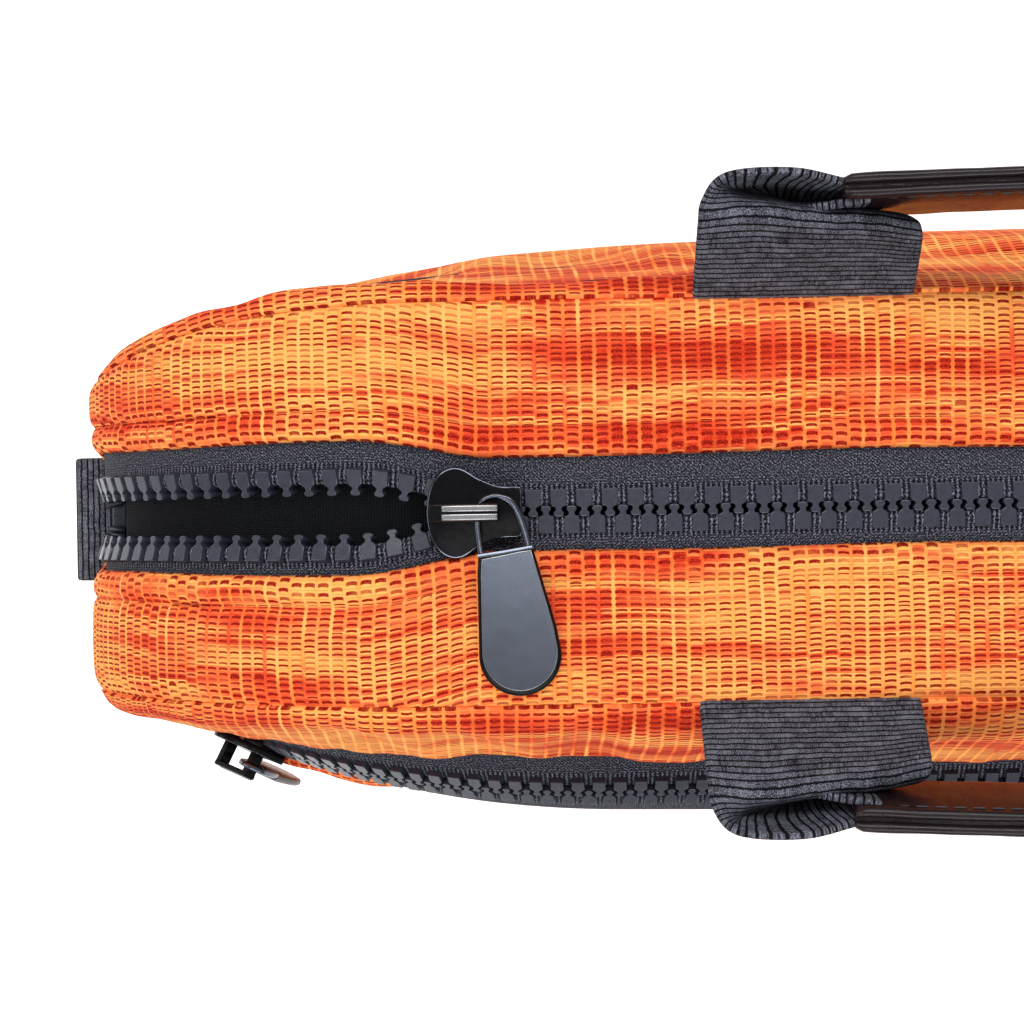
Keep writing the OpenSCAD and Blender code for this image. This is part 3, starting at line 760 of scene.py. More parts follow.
def panel(name, low, high, depth, side, node, spare=0.018):
    """A stuffed cover panel between two edges, each a function of x. depth(x, z) is how far it stands
    out from its seam, towards side."""
    seam = REAR if side > 0 else -FRONT
    columns, rows = 150, max(12, int((high(0) - low(0)) / (3 * MM)))
    points = []
    for i in range(columns + 1):
        turn = 2 * i / columns - 1
        x = HALF * (0.8 * turn + 0.2 * math.sin(math.pi / 2 * turn))
        column = []
        for j in range(rows + 1):
            part = j / rows
            part = 0.75 * part + 0.25 * (0.5 - 0.5 * math.cos(math.pi * part))
            z = low(x) + (high(x) - low(x)) * part
            column.append(Vector((x, side * (seam + depth(x, z) + CLOTH), z)))
        points.append(column)
    grid = np.array([[tuple(p) for p in column] for column in points])
    n = rows + 1
    facing_out = grid if side < 0 else grid[:, ::-1]
    trial = sheet_mesh(name + "_trial", facing_out, [[(0, 0)] * n] * (columns + 1))
    edge = [k for k in range((columns + 1) * n) if k < n or k >= columns * n or k % n in (0, rows)]
    moved = cloth_sim(trial, edge, 2.0, spare, 2.0 * MM)
    moved = moved.reshape(columns + 1, n, 3)
    grid = moved if side < 0 else moved[:, ::-1]
    steps = np.linalg.norm(np.diff(grid, axis=1), axis=2)
    down = np.concatenate([np.cumsum(steps[:, ::-1], axis=1)[:, ::-1], np.zeros((columns + 1, 1))], axis=1)
    up = np.concatenate([np.zeros((columns + 1, 1)), np.cumsum(steps, axis=1)], axis=1)
    middle = rows // 2
    across = np.concatenate([[0], np.cumsum(np.linalg.norm(np.diff(grid[:, middle], axis=0), axis=1))])
    across -= across[columns // 2]
    places = [[(across[i], down[i, j]) for j in range(rows + 1)] for i in range(columns + 1)]
    for i in range(columns + 1):
        for j in range(rows + 1):
            x, y, z = grid[i, j]
            d = min(down[i, j], up[i, j], (HALF - abs(x)) * 1.4)
            pucker = noise.noise(Vector((x * 95 + z * 40, z * 45, 3.0 + side)))
            fold = noise.noise(Vector((x * 21, z * 48 + x * 9, 7.0 + side)))
            y += side * (-1.3 * MM * math.exp(-d / (1.4 * MM)))
            y += side * 0.8 * MM * pucker * math.exp(-d / (10 * MM)) * min(1, d / (1.5 * MM))
            y += side * 1.5 * MM * fold * math.exp(-d / (45 * MM)) * min(1, d / (6 * MM))
            y -= side * slack(x, side) * min(1, d / (12 * MM))
            grid[i, j] = (x, y, z)
    points = [[Vector(p) for p in column] for column in grid]
    piece = cloth_piece(name, points, places, CLOTH_LOOK, CLOTH, flip=side > 0, smooth=1)
    declare(piece, "bag", node, "orange_cloth")


# The pocket zip runs straight in the middle and on an arc at each end, in one leaning plane
POCKET_DROP = 31 * MM
POCKET_RADIUS = 100 * MM
POCKET_STRAIGHT = 110 * MM
POCKET_LEAN = math.radians(14)
POCKET_STEP = 6 * MM
POCKET_HALF = 190 * MM
ZIP_SLOT = 4 * MM
STRAIGHT_ON = 192 * MM


def zip_slope(x):
    return math.asin(max(0, min(abs(x), STRAIGHT_ON) - POCKET_STRAIGHT) / POCKET_RADIUS)


def fall(x):
    a = zip_slope(x)
    return POCKET_RADIUS * (1 - math.cos(a)) + max(0, abs(x) - STRAIGHT_ON) * math.tan(a)


def slot_at(x):
    """Half the height of the slot for the pocket zip, wider at its ends for the slider and sewn shut past
    them."""
    shut = min(1, max(0, abs(x) - POCKET_HALF) / (12 * MM))
    open_half = ZIP_SLOT / math.cos(zip_slope(x)) + 5.6 * MM * min(1, abs(x) / POCKET_HALF) ** 2.4
    return open_half * (1 - 0.99 * shut * shut * (3 - 2 * shut))


def zip_z(x):
    return TOP - POCKET_DROP - fall(x) * math.cos(POCKET_LEAN)


def front_depth(x, z):
    return FRONT_BULGE * bulge(x, z)


def pocket_depth(x, z):
    out = POCKET_STEP * math.sqrt(swell(x / HALF)) * min(1, max(0, z - base_edge(x)) / (40 * MM))
    return front_depth(x, z) + out


def rear_depth(x, z):
    return REAR_BULGE * bulge(x, z) - narrowing(x, z)


panel("cover_rear", base_edge, top_edge, rear_depth, 1, "rear_panel")
panel("cover_yoke", lambda x: zip_z(x) + slot_at(x), top_edge, front_depth, -1, "front_yoke", 0.01)
panel("cover_pocket", base_edge, lambda x: zip_z(x) - slot_at(x), pocket_depth, -1, "pocket_panel")

# ---- Gusset bands beside the main zip, ends and base ----

HEM = 4.3 * MM
BAND_RISE = 0.85 * MM  # the most that the cloth stands up, which keeps it low under the main pull


def band(side, node):
    """The top band between a panel's seam and the zip, with a stitched hem beside the tape."""
    count = int(2 * ZIP_END / (2.2 * MM))
    points, places = [], []
    for i in range(count + 1):
        s = -ZIP_END + 2 * ZIP_END * i / count
        edge = band_edge(s, side)
        seam = seam_at(path(s), side)
        width = seam - edge
        column, place = [], []
        for j in range(31):
            part = j / 30
            part = 0.6 * part + 0.4 * (0.5 - 0.5 * math.cos(math.pi * part))
            from_edge = width * part
            from_seam = width - from_edge
            height = 0.0
            if from_edge > HEM:
                height = 1.6 * MM * math.sin(math.pi * min(1, from_seam / (width - HEM))) ** 0.8
            if from_edge < HEM:
                height = 0.5 * MM * math.sin(math.pi * from_edge / HEM)
            pucker = noise.noise(Vector((s * 190, side * 4, 1.7)))
            height -= (0.6 + 0.3 * pucker) * MM * math.exp(-((from_edge - HEM) / (1.2 * MM)) ** 2)
            height -= 1.4 * MM * math.exp(-from_seam / (1.2 * MM))
            rounding = max(0, 1 - from_edge / (1.1 * MM))
            height -= 0.9 * MM * (1 - math.sqrt(1 - rounding**2 * 0.98))
            slow = noise.noise(Vector((s * 16, from_edge * 70, side * 5.0)))
            quick = noise.noise(Vector((s * 55 + from_edge * 60, from_edge * 160, side * 9.0)))
            fade = min(1, from_seam / (5 * MM)) * min(1, max(0, from_edge - 1.5 * MM) / (3 * MM))
            height += (1.3 * slow + 0.45 * quick) * MM * fade
            if from_seam > 2 * MM:
                height = max(height, -0.9 * MM)
            if height > 0:
                height = BAND_RISE * math.tanh(height / BAND_RISE)
            column.append(on_path(s, side * (edge + from_edge), height))
            place.append((s, side * from_edge))
        points.append(column)
        places.append(place)
    name = "band_rear" if side > 0 else "band_front"
    piece = cloth_piece(name, points, places, CLOTH_LOOK, CLOTH, flip=side < 0)
    declare(piece, "bag", node, "orange_cloth")
    frames = []
    stitch = 3.4 * MM
    for k in range(int(-ZIP_END / stitch) + 1, int(ZIP_END / stitch)):
        s = k * stitch
        p = on_path(s, side * (band_edge(s, side) + HEM), -0.35 * MM)
        frames.append(axes_at(p, along(s), outward(s)))
    row = stitches(name + "_stitches", frames, SEAM_THREAD)
    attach(row, "bag")


band(1, "top_band_rear")
band(-1, "top_band_front")


def strip(name, node, s_from, s_to, crown, seed):
    """A gusset strip across the bag's whole thickness, between two places on the outline."""
    count = max(8, int(abs(s_to - s_from) / (3 * MM)))
    points, places = [], []
    for i in range(count + 1):
        s = s_from + (s_to - s_from) * i / count
        rear = seam_at(path(s), 1)
        lower = min(1, (abs(s) - ZIP_END) / (90 * MM))
        column, place = [], []
        for j in range(35):
            part = 0.5 - 0.5 * math.cos(math.pi * j / 34)
            part = 0.4 * j / 34 + 0.6 * part
            y = FRONT + (rear - FRONT) * part
            d = min(y - FRONT, rear - y)
            height = crown * lower * math.sin(math.pi * part)
            height -= 1.4 * MM * math.exp(-d / (1.2 * MM))
            end = min(abs(s - s_from), abs(s_to - s))
            height -= 0.9 * MM * math.exp(-end / (1.5 * MM))
            ripple = noise.noise(Vector((s * 30, y * 60, seed)))
            height += (0.9 * MM * (0.3 + 0.7 * lower) if crown else 0) * ripple * min(1, d / (5 * MM))
            pucker = noise.noise(Vector((s * 130, y * 40, seed + 2)))
            height += (0.35 * MM if crown else 0) * pucker * math.exp(-d / (6 * MM)) * min(1, d / (1.5 * MM))
            column.append(on_path(s, y, height))
            place.append((y, s))
        points.append(column)
        places.append(place)
    piece = cloth_piece(name, points, places, CLOTH_LOOK, CLOTH, flip=s_to > s_from)
    declare(piece, "bag", node, "orange_cloth")


strip("gusset_right", "end_gusset_right", ZIP_END + 0.6 * MM, BASE_START, 1.6 * MM, 11.0)
strip("gusset_left", "end_gusset_left", -ZIP_END - 0.6 * MM, -BASE_START, 1.6 * MM, 17.0)


def base_piece():
    """The flat bottom, seamed all round."""
    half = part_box("base_panel")[1].x
    points, places = [], []
    for i in range(121):
        x = half * (i / 60 - 1)
        column, place = [], []
        for j in range(29):
            part = 0.5 - 0.5 * math.cos(math.pi * j / 28)
            y = FRONT + (REAR - FRONT) * part
            d = min(y - FRONT, REAR - y, half - abs(x))
            column.append(Vector((x, y, 1.2 * MM * math.exp(-d / (1.3 * MM)))))
            place.append((x, y))
        points.append(column)
        places.append(place)
    piece = cloth_piece("cover_base", points, places, CLOTH_LOOK, CLOTH, flip=True)
    declare(piece, "bag", "base_panel", "orange_cloth")


base_piece()

# ---- Zip chains ----

CHAIN_LEVEL = -1.75 * MM
PITCH = 4.4 * MM
POCKET_SCALE = 0.875
TOOTH_SIDE = [(1.38, -3.78), (1.38, -1.35), (1.1, -0.95), (0.62, -0.66), (0.5, -0.35), (0.6, -0.05),
              (0.86, 0.2), (0.9, 0.5), (0.7, 0.82), (0.3, 0.94)]


def tooth(scale):
    """A moulded tooth with its root at -Y and its head over the chain's middle."""
    outline_points = TOOTH_SIDE + [(-x, y) for x, y in reversed(TOOTH_SIDE)]
    scaled = [(x * MM * scale, y * MM * scale) for x, y in outline_points]
    return prism("tooth", scaled, 3.3 * MM * scale, 0.16 * MM * scale, TEETH_LOOK, steps=1)


def row_point(s, side):
    return on_path(s, side * parted(s), CHAIN_LEVEL)


def row_tilt(s, side):
    """Parted rows roll a little towards the gap."""
    return math.radians(16) * parted(s) / PARTING * side


def main_row(side):
    teeth = int((ZIP_END - 5 * MM) / PITCH)
    frames = []
    for k in range(-teeth, teeth + (1 if side < 0 else 0)):
        s = (k + (0.5 if side > 0 else 0)) * PITCH
        t = (row_point(s + 3 * MM, side) - row_point(s - 3 * MM, side)).normalized()
        place = axes_at(row_point(s, side), t, outward(s)) @ Matrix.Rotation(row_tilt(s, side), 4, "X")
        if side > 0:
            place = place @ Matrix.Scale(-1, 4, (0, 1, 0))
        frames.append(place)
    place_name = "rear" if side > 0 else "front"
    piece = copies("main_row_" + place_name, tooth(1), frames)
    declare(piece, "bag", "main_teeth_" + place_name, "zip_teeth")


def main_tape(side):
    """The tape from under its teeth to under the band's hem, with a cord along its inner edge."""
    count = int(2 * ZIP_END / (2.5 * MM))
    points, places = [], []
    for i in range(count + 1):
        s = -ZIP_END + 2 * ZIP_END * i / count
        inner = 1.3 * MM + parted(s)
        outer = band_edge(s, side) + 4.5 * MM
        column, place = [], []
        for j in range(19):
            part = (j / 18) ** 1.3
            y = inner + (outer - inner) * part
            bead = max(0, 1 - ((y - inner - 0.9 * MM) / (0.9 * MM)) ** 2)
            height = -1.5 * MM + 0.55 * MM * math.sqrt(bead)
            ripple = noise.noise(Vector((s * 40, y * 120, side)))
            height += 0.25 * MM * ripple * min(1, (y - inner) / (4 * MM))
            column.append(on_path(s, side * y, height))
            place.append((s, y - inner))
        points.append(column)
        places.append(place)
    name = "main_tape_rear" if side > 0 else "main_tape_front"
    piece = cloth_piece(name + "_cloth", points, places, TAPE_LOOK, 0.7 * MM, flip=side < 0)
    declare(piece, "bag", name, "zip_tape")


for zip_side in (1, -1):
    main_row(zip_side)
    main_tape(zip_side)


def rounded_box(name, size, bevel, look):
    """A block with rounded edges, centred on the origin."""
    x, y, z = (v / 2 for v in size)
    outline_points = [(-x, -y), (x, -y), (x, y), (-x, y)]
    return prism(name, outline_points, 2 * z, bevel, look)


def end_stops(name, node, frames, size):
    piece = copies(name, rounded_box("stop", size, 0.4 * MM, TEETH_LOOK), frames)
    declare(piece, "bag", node, "zip_teeth")


last_tooth = int((ZIP_END - 5 * MM) / PITCH) * PITCH + 3.2 * MM
end_stops("main_stops", "main_end_stops",
          [axes_at(on_path(s, 0, CHAIN_LEVEL), along(s), outward(s)) for s in (-last_tooth, last_tooth)],
          (2 * MM, 6.4 * MM, 3 * MM))

# Places along the pocket zip

SHELF_Y = FRONT - 0.1 * MM - front_depth(0, zip_z(0)) - CLOTH - 0.56 * POCKET_STEP


def shelf_point(x):
    return Vector((x, SHELF_Y + fall(x) * math.sin(POCKET_LEAN), zip_z(x)))


def shelf_axes(x):
    t = (shelf_point(x + MM) - shelf_point(x - MM)).normalized()
    tilt = math.radians(34 + 26 * (abs(x) / POCKET_HALF) ** 2)
    return axes_at(shelf_point(x), t, Vector((0, -math.sin(tilt), math.cos(tilt))))


def shelf_x(distance):
    """The x that lies this far along the pocket zip from its middle."""
    arc = max(0, abs(distance) - POCKET_STRAIGHT) / POCKET_RADIUS
    return math.copysign(min(abs(distance), POCKET_STRAIGHT) + POCKET_RADIUS * math.sin(arc), distance)


POCKET_SLIDER_X = 8 * MM - POCKET_HALF
POCKET_LENGTH = POCKET_STRAIGHT + POCKET_RADIUS * math.asin((POCKET_HALF - POCKET_STRAIGHT) / POCKET_RADIUS)


def pocket_row(side):
    pitch = PITCH * POCKET_SCALE
    teeth = int((POCKET_LENGTH - 4 * MM) / pitch)
    frames = []
    for k in range(-teeth, teeth + (1 if side < 0 else 0)):
        x = shelf_x((k + (0.5 if side > 0 else 0)) * pitch)
        if x < POCKET_SLIDER_X - 0.5 * MM:
            continue
        place = shelf_axes(x)
        frames.append(place @ Matrix.Scale(-1, 4, (0, 1, 0)) if side > 0 else place)
    place_name = "upper" if side > 0 else "lower"
    piece = copies("pocket_row_" + place_name, tooth(POCKET_SCALE), frames)
    declare(piece, "bag", "pocket_teeth_" + place_name, "zip_teeth")


def pocket_tape(side):
    """The pocket zip's tape. Its ends are cut round, and it goes in behind the yoke and the pocket."""
    count = 170
    points, places = [], []
    for i in range(count + 1):
        d = (2 * i / count - 1) * (POCKET_LENGTH + 3 * MM)
        place = shelf_axes(shelf_x(d))
        left = POCKET_LENGTH + 3 * MM - abs(d)
        outer = (9.5 if side > 0 else 7.5) * MM * min(1, math.sqrt(max(0.02, left / (7 * MM))))
        column, weave_place = [], []
        for j in range(11):
            w = 1.1 * MM + (outer - 1.1 * MM) * j / 10
            sink = -0.35 * MM - 0.35 * max(0, w - 4.2 * MM)
            column.append(place @ Vector((0, side * w, sink)))
            weave_place.append((d, w - 1.1 * MM))
        points.append(column)
        places.append(weave_place)
    name = "pocket_tape_upper" if side > 0 else "pocket_tape_lower"
    piece = cloth_piece(name + "_cloth", points, places, TAPE_LOOK, 0.6 * MM, flip=side < 0)
    declare(piece, "bag", name, "zip_tape")


for zip_side in (1, -1):
    pocket_row(zip_side)
    pocket_tape(zip_side)
end_stops("pocket_stops", "pocket_end_stops",
          [shelf_axes(x) for x in (1 * MM - POCKET_HALF, POCKET_HALF - 1 * MM)],
          (2 * MM, 5 * MM, 2.4 * MM))

# ---- Sliders and pulls ----

PLATE_GAP = 2.0 * MM
PLATE = 1.7 * MM
PLATE_TOP = PLATE_GAP + PLATE


def arc_points(cx, cy, r, start, stop, count):
    angles = [math.radians(start + (stop - start) * k / count) for k in range(count + 1)]
    return [(cx + r * math.cos(a), cy + r * math.sin(a)) for a in angles]


def plate_outline():
    """The slider's teardrop plate: wide lobes at its open end, narrow at its tail."""
    upper = [(8.2, 0), (8.2, 3.7), (7.8, 4.25), (5.6, 4.3), (3.9, 4.5), (2.2, 5.15), (0.5, 5.95),
             (-1.3, 7.15), (-2.7, 7.7), (-4.2, 7.6), (-5.8, 6.7), (-7.1, 4.9), (-7.8, 2.6), (-8.1, 0)]
    smooth = [tuple(p) for p in curved(upper, 48)]
    lower = [(x, -y) for x, y in smooth[-2:0:-1]]
    return [(x * MM, y * MM) for x, y in smooth + lower]


def tube(name, points, radius, look, closed=True):
    """A thin round bead along points."""
    curve = bpy.data.curves.new(name, "CURVE")
    curve.dimensions = "3D"
    spline = curve.splines.new("POLY")
    spline.points.add(len(points) - 1)
    for point, co in zip(spline.points, points):
        point.co = (*co, 1)
    spline.use_cyclic_u = closed
    curve.bevel_depth = radius
    curve.bevel_resolution = 2
    curve.use_fill_caps = True
    return piece_from_curve(name, curve, look)


def slider(name, node, place, scale):
    """Two plates round the chain, a raised metal rim that paints a highlight on the upper plate's edge, and
    the bridge that holds the pull.
    """
    parts = []
    for level in (1, -1):
        plate = bevelled("plate", plate_outline(), PLATE, 0.3 * MM, PLATE_LOOK)
        plate.location.z = level * (PLATE_GAP + PLATE / 2)
        parts.append(plate)
    # Painted highlight: a thin gunmetal bead round the black upper plate stands for the light on its edge
    rim = [(x * 0.975, y * 0.975, PLATE_TOP - 0.06 * MM) for x, y in plate_outline()]
    parts.append(tube("rim", rim, 0.09 * MM, PULL_LOOK))
    for side in (1, -1):
        lip = rounded_box("lip", (6.2 * MM, 0.5 * MM, 1.3 * MM), 0.2 * MM, PLATE_LOOK)
        lip.location = (5.0 * MM, side * 4.1 * MM, 1.45 * MM)
        parts.append(lip)
    wedge = rounded_box("wedge", (2.4 * MM, 1.5 * MM, 2 * PLATE_GAP), 0.3 * MM, PLATE_LOOK)
    wedge.location.x = -6.7 * MM
    parts.append(wedge)
    # The bridge: two legs, a crown and two bright strips along it
    for x in (-6.7, 3.5):
        leg = rounded_box("leg", (1.5 * MM, 2.9 * MM, 5.2 * MM), 0.3 * MM, PLATE_LOOK)
        leg.location = (x * MM, 0, PLATE_TOP + 2.4 * MM)
        parts.append(leg)
    crown = rounded_box("crown", (11.7 * MM, 3.1 * MM, 1.3 * MM), 0.35 * MM, PLATE_LOOK)
    crown.location = (-1.6 * MM, 0, PLATE_TOP + 5.25 * MM)
    parts.append(crown)
    for side in (1, -1):
        ridge = rounded_box("ridge", (9.4 * MM, 1.15 * MM, 0.8 * MM), 0.3 * MM, RIM_LOOK)
        ridge.location = (-0.6 * MM, side * 0.72 * MM, PLATE_TOP + 5.75 * MM)
        parts.append(ridge)
    for part in parts:
        part.matrix_world = place @ Matrix.Scale(scale, 4) @ part.matrix_basis
    declare(joined(name, parts), node, node, "gunmetal")


RING_OUTER = [(6.3, -6.0), (5.5, -2.6), (4.4, 0.3), (3.1, 2.3), (1.1, 3.1), (-0.8, 3.05), (-2.6, 1.8),
              (-3.3, -2), (-2.9, -7.4)]
RING_INNER = [(5.1, -5.8), (4.4, -3.2), (3.5, -0.6), (2.5, 1.2), (0.95, 2.15), (-0.5, 2.15), (-1.8, 1.3),
              (-2.4, -2), (-1.9, -6.6)]


def arch(name, outer, inner, thickness, bevel, look):
    """A bar of rounded section between two curves."""
    rings = []
    for (ox, oy), (ix, iy) in zip(curved(outer, 44), curved(inner, 44)):
        middle = Vector(((ox + ix) / 2, (oy + iy) / 2, 0)) * MM
        way = Vector((ox - ix, oy - iy, 0)) * MM / 2
        wide = way.length
        way.normalize()
        ring = []
        for a in range(0, 360, 20):
            c, d = math.cos(math.radians(a)), math.sin(math.radians(a))
            across = math.copysign(wide - bevel, c) + bevel * c
            up = math.copysign(thickness / 2 - bevel, d) + bevel * d
            ring.append(middle + way * across + Vector((0, 0, up)))
        rings.append(ring)
    piece = rings_mesh(name, rings, look)
    flatten_shading(piece)
    return piece


def tongue_crown(x, y):
    """The tongue is a little convex along its length."""
    along_it = (-y / MM - 7) / 24
    return -0.5 * MM * max(0, along_it) ** 2 + 0.35 * MM


def pull(name, node, place, scale):
    """A ring and a bevelled tongue, along -Y from the bridge's leg, with a ridge where they meet."""
    ring = arch("ring", RING_OUTER, RING_INNER, 1.3 * MM, 0.4 * MM, PULL_LOOK)
    outline_points = [(6.3, -5.7), (4, -6.0), (1, -6.6), (-2.8, -7.2)]
    outline_points += [(-3.0, y) for y in (-10, -14, -18, -22)]
    outline_points += arc_points(4.0, -24.4, 7.0, 184, 368, 40)
    outline_points += [(10.2, -19.5), (9.1, -15.5), (8.1, -12), (7.2, -8.8)]
    scaled = [(x * MM, y * MM) for x, y in outline_points]
    # Painted reflection: the tongue's body is black plastic, so its wide bevel shows dark under a gunmetal
    # face
    body = bevelled("tongue", scaled, 1.7 * MM, 0.75 * MM, PLATE_LOOK, steps=4, height=tongue_crown)
    lip = [(x * 0.9 + 0.36 * MM, (y + 16 * MM) * 0.93 - 16 * MM) for x, y in scaled]
    face = bevelled("face", lip, 0.16 * MM, 0.06 * MM, PULL_LOOK, steps=1,
                    height=lambda x, y: tongue_crown(x, y) + 0.84 * MM)
    # Painted highlight: a bright metal bead along the face's edge
    line = tube("line", [(x, y, 0.9 * MM + tongue_crown(x, y)) for x, y in lip], 0.07 * MM, RIM_LOOK)
    ridge = tube("ridge", [(-2.9 * MM, -7.3 * MM, 0.75 * MM), (1.7 * MM, -6.65 * MM, 0.8 * MM),
                           (6.3 * MM, -5.9 * MM, 0.75 * MM)], 0.4 * MM, PULL_LOOK, closed=False)
    parts = [ring, body, face, line, ridge]
    for part in parts:
        part.matrix_world = place @ Matrix.Scale(scale, 4) @ part.matrix_basis
    declare(joined(name, parts), node, node, "gunmetal")


PIVOT_HEIGHT = 6.7 * MM
PULL_X = 3.5 * MM
main_place = Matrix.Translation((SLIDER_X, 0, TOP + CHAIN_LEVEL))
slider("main_slider_body", "main_slider", main_place, 1)
pivot = Matrix.Translation((PULL_X, 0, PIVOT_HEIGHT))
main_pull_place = main_place @ pivot @ Matrix.Rotation(math.radians(5), 4, "X")
pull("main_pull_tongue", "main_pull", main_pull_place, 1)
pocket_place = shelf_axes(POCKET_SLIDER_X)
slider("pocket_slider_body", "pocket_slider", pocket_place, POCKET_SCALE)
pocket_swing = Matrix.Rotation(math.radians(-46), 4, "Z") @ Matrix.Rotation(math.radians(4), 4, "X")
pocket_pull_place = pocket_place @ Matrix.Scale(POCKET_SCALE, 4) @ pivot @ pocket_swing
pull("pocket_pull_tongue", "pocket_pull", pocket_pull_place, 1)

# ---- Handles ----

WEB = 38 * MM
LEG_X = 78.7 * MM
WEB_THICK = 1.4 * MM
# Rows across the webbing, from its outer selvage to its inner one: x from the leg's middle, out from the
# seam, and up from the bag's top, in millimetres, from the seam to the grip.
STRAP_LINES = [
    [(-19, -0.8, -3), (-19, 0.6, 0.6), (-19, 6, 6.4), (-18.9, 11.8, 11.2), (-18.4, 15.4, 13.6),
     (-14.5, 19.0, 16.4), (-4, 19.2, 18.4), (4, 17.4, 18.4), (9, 16.4, 17.8)],
    [(-9.5, -0.8, -3), (-9.5, 0.6, 0.6), (-9.6, 6, 7.0), (-9.7, 12.2, 13.4), (-10.4, 14.6, 12.2),
     (-12.4, 17.4, 8.8), (-5, 18.6, 9.0), (3, 17.0, 9.4), (9, 16.0, 9.6)],
    [(0, -0.8, -3), (0, 0.6, 0.6), (-0.1, 6, 7.3), (-0.2, 11.2, 13.6), (-0.8, 13.4, 12.6), (-3.6, 15.0, 7.0),
     (-4.0, 16.2, 1.8), (3.2, 15.6, 0.7), (9, 15.2, 0.7)],
    [(9.5, -0.8, -3), (9.5, 0.6, 0.6), (9.4, 6, 7.0), (9.2, 10.8, 13.0), (8.2, 12.8, 12.0), (4.6, 14.0, 7.0),
     (-1.5, 14.6, 6.0), (3.2, 14.5, 9.0), (9, 14.4, 9.6)],
    [(19, -0.8, -3), (19, 0.6, 0.6), (18.8, 5.6, 6.4), (18.3, 9.6, 11.2), (16.8, 11.6, 10.8),
     (12.0, 12.8, 8.6), (-1.0, 13.4, 10.6), (1.8, 13.7, 15.4), (9, 14.6, 17.8)],
]
GRIP_RISE = 10 * MM
GRIP_HALF = 73 * MM


def handle_frame(side):
    """Turns (x, out, up) into a place on the rear (1) or front (-1) handle. The rear one leans inwards at
    rest and the front one outwards."""
    seam = REAR if side > 0 else FRONT
    return lambda x, out, up: Vector((x, seam + side * (out - side * 0.05 * max(0, up)), TOP + up))


def grip_foot(x):
    return GRIP_RISE * max(0, 1 - (x / GRIP_HALF) ** 2)


def strap_end(side, end):
    """A webbing leg that rises from the seam, curls over and folds lengthwise into the grip."""
    place = handle_frame(side)
    lines = [curved(line, 44) for line in STRAP_LINES]
    rows = [curved([line[k] for line in lines], 28) for k in range(45)]
    spine = np.array([row[14] for row in rows]) * MM
    run = np.concatenate([[0], np.cumsum(np.linalg.norm(np.diff(spine, axis=0), axis=1))])
    points, places = [], []
    for k, row in enumerate(rows):
        points.append([place(end * (p[0] * MM - LEG_X), p[1] * MM, p[2] * MM) for p in row])
        places.append([(WEB * j / 28, run[k]) for j in range(29)])
    name = f"{'rear' if side > 0 else 'front'}_strap_{'left' if end > 0 else 'right'}"
    piece = webbing_piece(name, points, places)
    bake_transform(piece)


def grip_section(swollen):
    """The wrap's section: a folded foot, flat cheeks and two rolled edges with a groove between them."""
    half = 1.85 + 0.2 * swollen
    roll = 0.85 + 0.1 * swollen
    tall = 19.4
    points = arc_points(0, half * 0.9, half, 180, 360, 8)
    points += [(half, 6), (half * 1.02, 11), (half * 0.97, 15.5), (half * 0.82, tall - 2.2)]
    points += arc_points(half - roll + 0.1, tall - roll, roll, -50, 190, 10)
    points += [(-x, y) for x, y in reversed(points[-11:])]
    points += [(-half * 0.82, tall - 2.2), (-half * 0.97, 15.5), (-half * 1.02, 11), (-half, 6)]
    return [(x * MM, y * MM) for x, y in points]


def grip_lean(up):
    """Outward place of the grip's middle at a height above its foot."""
    return (15.0 + 1.6 * up / (20 * MM)) * MM


def grip(side):
    place = handle_frame(side)
    count = 150
    rings = []
    for i in range(count + 1):
        x = (2 * i / count - 1) * (GRIP_HALF + 1.5 * MM)
        near_end = math.exp(-((abs(x) - GRIP_HALF + 3 * MM) / (4.5 * MM)) ** 2)
        near_end += 0.35 * math.exp(-((abs(x) - GRIP_HALF + 13 * MM) / (3.5 * MM)) ** 2)
        section = grip_section(min(1.0, near_end))
        tuck = max(0, abs(x) - GRIP_HALF) / (1.5 * MM)
        ring = []
        for k, (across, up) in enumerate(section):
            lump = noise.noise(Vector((x * 60, k * 0.21, side * 2.0))) * 0.18 * MM
            lump += noise.noise(Vector((x * 190, k * 0.5, side * 5.0))) * 0.08 * MM
            scale = 1 - 0.25 * tuck**2
            ring.append(place(x, grip_lean(up) + (across + math.copysign(lump, across)) * scale,
                              0.2 * MM + grip_foot(x) + up * (1 - 0.03 * tuck**2)))
        rings.append(ring)
    which = "rear" if side > 0 else "front"
    name = which + "_grip"
    body = which + "_handle"
    piece = rings_mesh(name, rings, LEATHER_LOOK, flip=side < 0)
    flatten_shading(piece, 60)
    declare(piece, body, name + "_wrap", "black_leather", body + "_strap")
    frames = []
    for face in (1, -1):
        for k in range(-23, 24):
            x = k * 2.9 * MM
            up = 16.4 * MM
            p = place(x, grip_lean(up) + face * 1.72 * MM, 0.2 * MM + grip_foot(x) + up)
            t = (place(x + MM, 0, grip_foot(x + MM)) - place(x - MM, 0, grip_foot(x - MM))).normalized()
            frames.append(axes_at(p, t, Vector((0, side * face, 0))))
    row = stitches(name + "_stitches", frames, BLACK_THREAD, 2.0 * MM, 0.2 * MM)
    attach(row, body)


for handle_side in (1, -1):
    for handle_end in (1, -1):
        strap_end(handle_side, handle_end)
    grip(handle_side)

# ---- End tabs ----


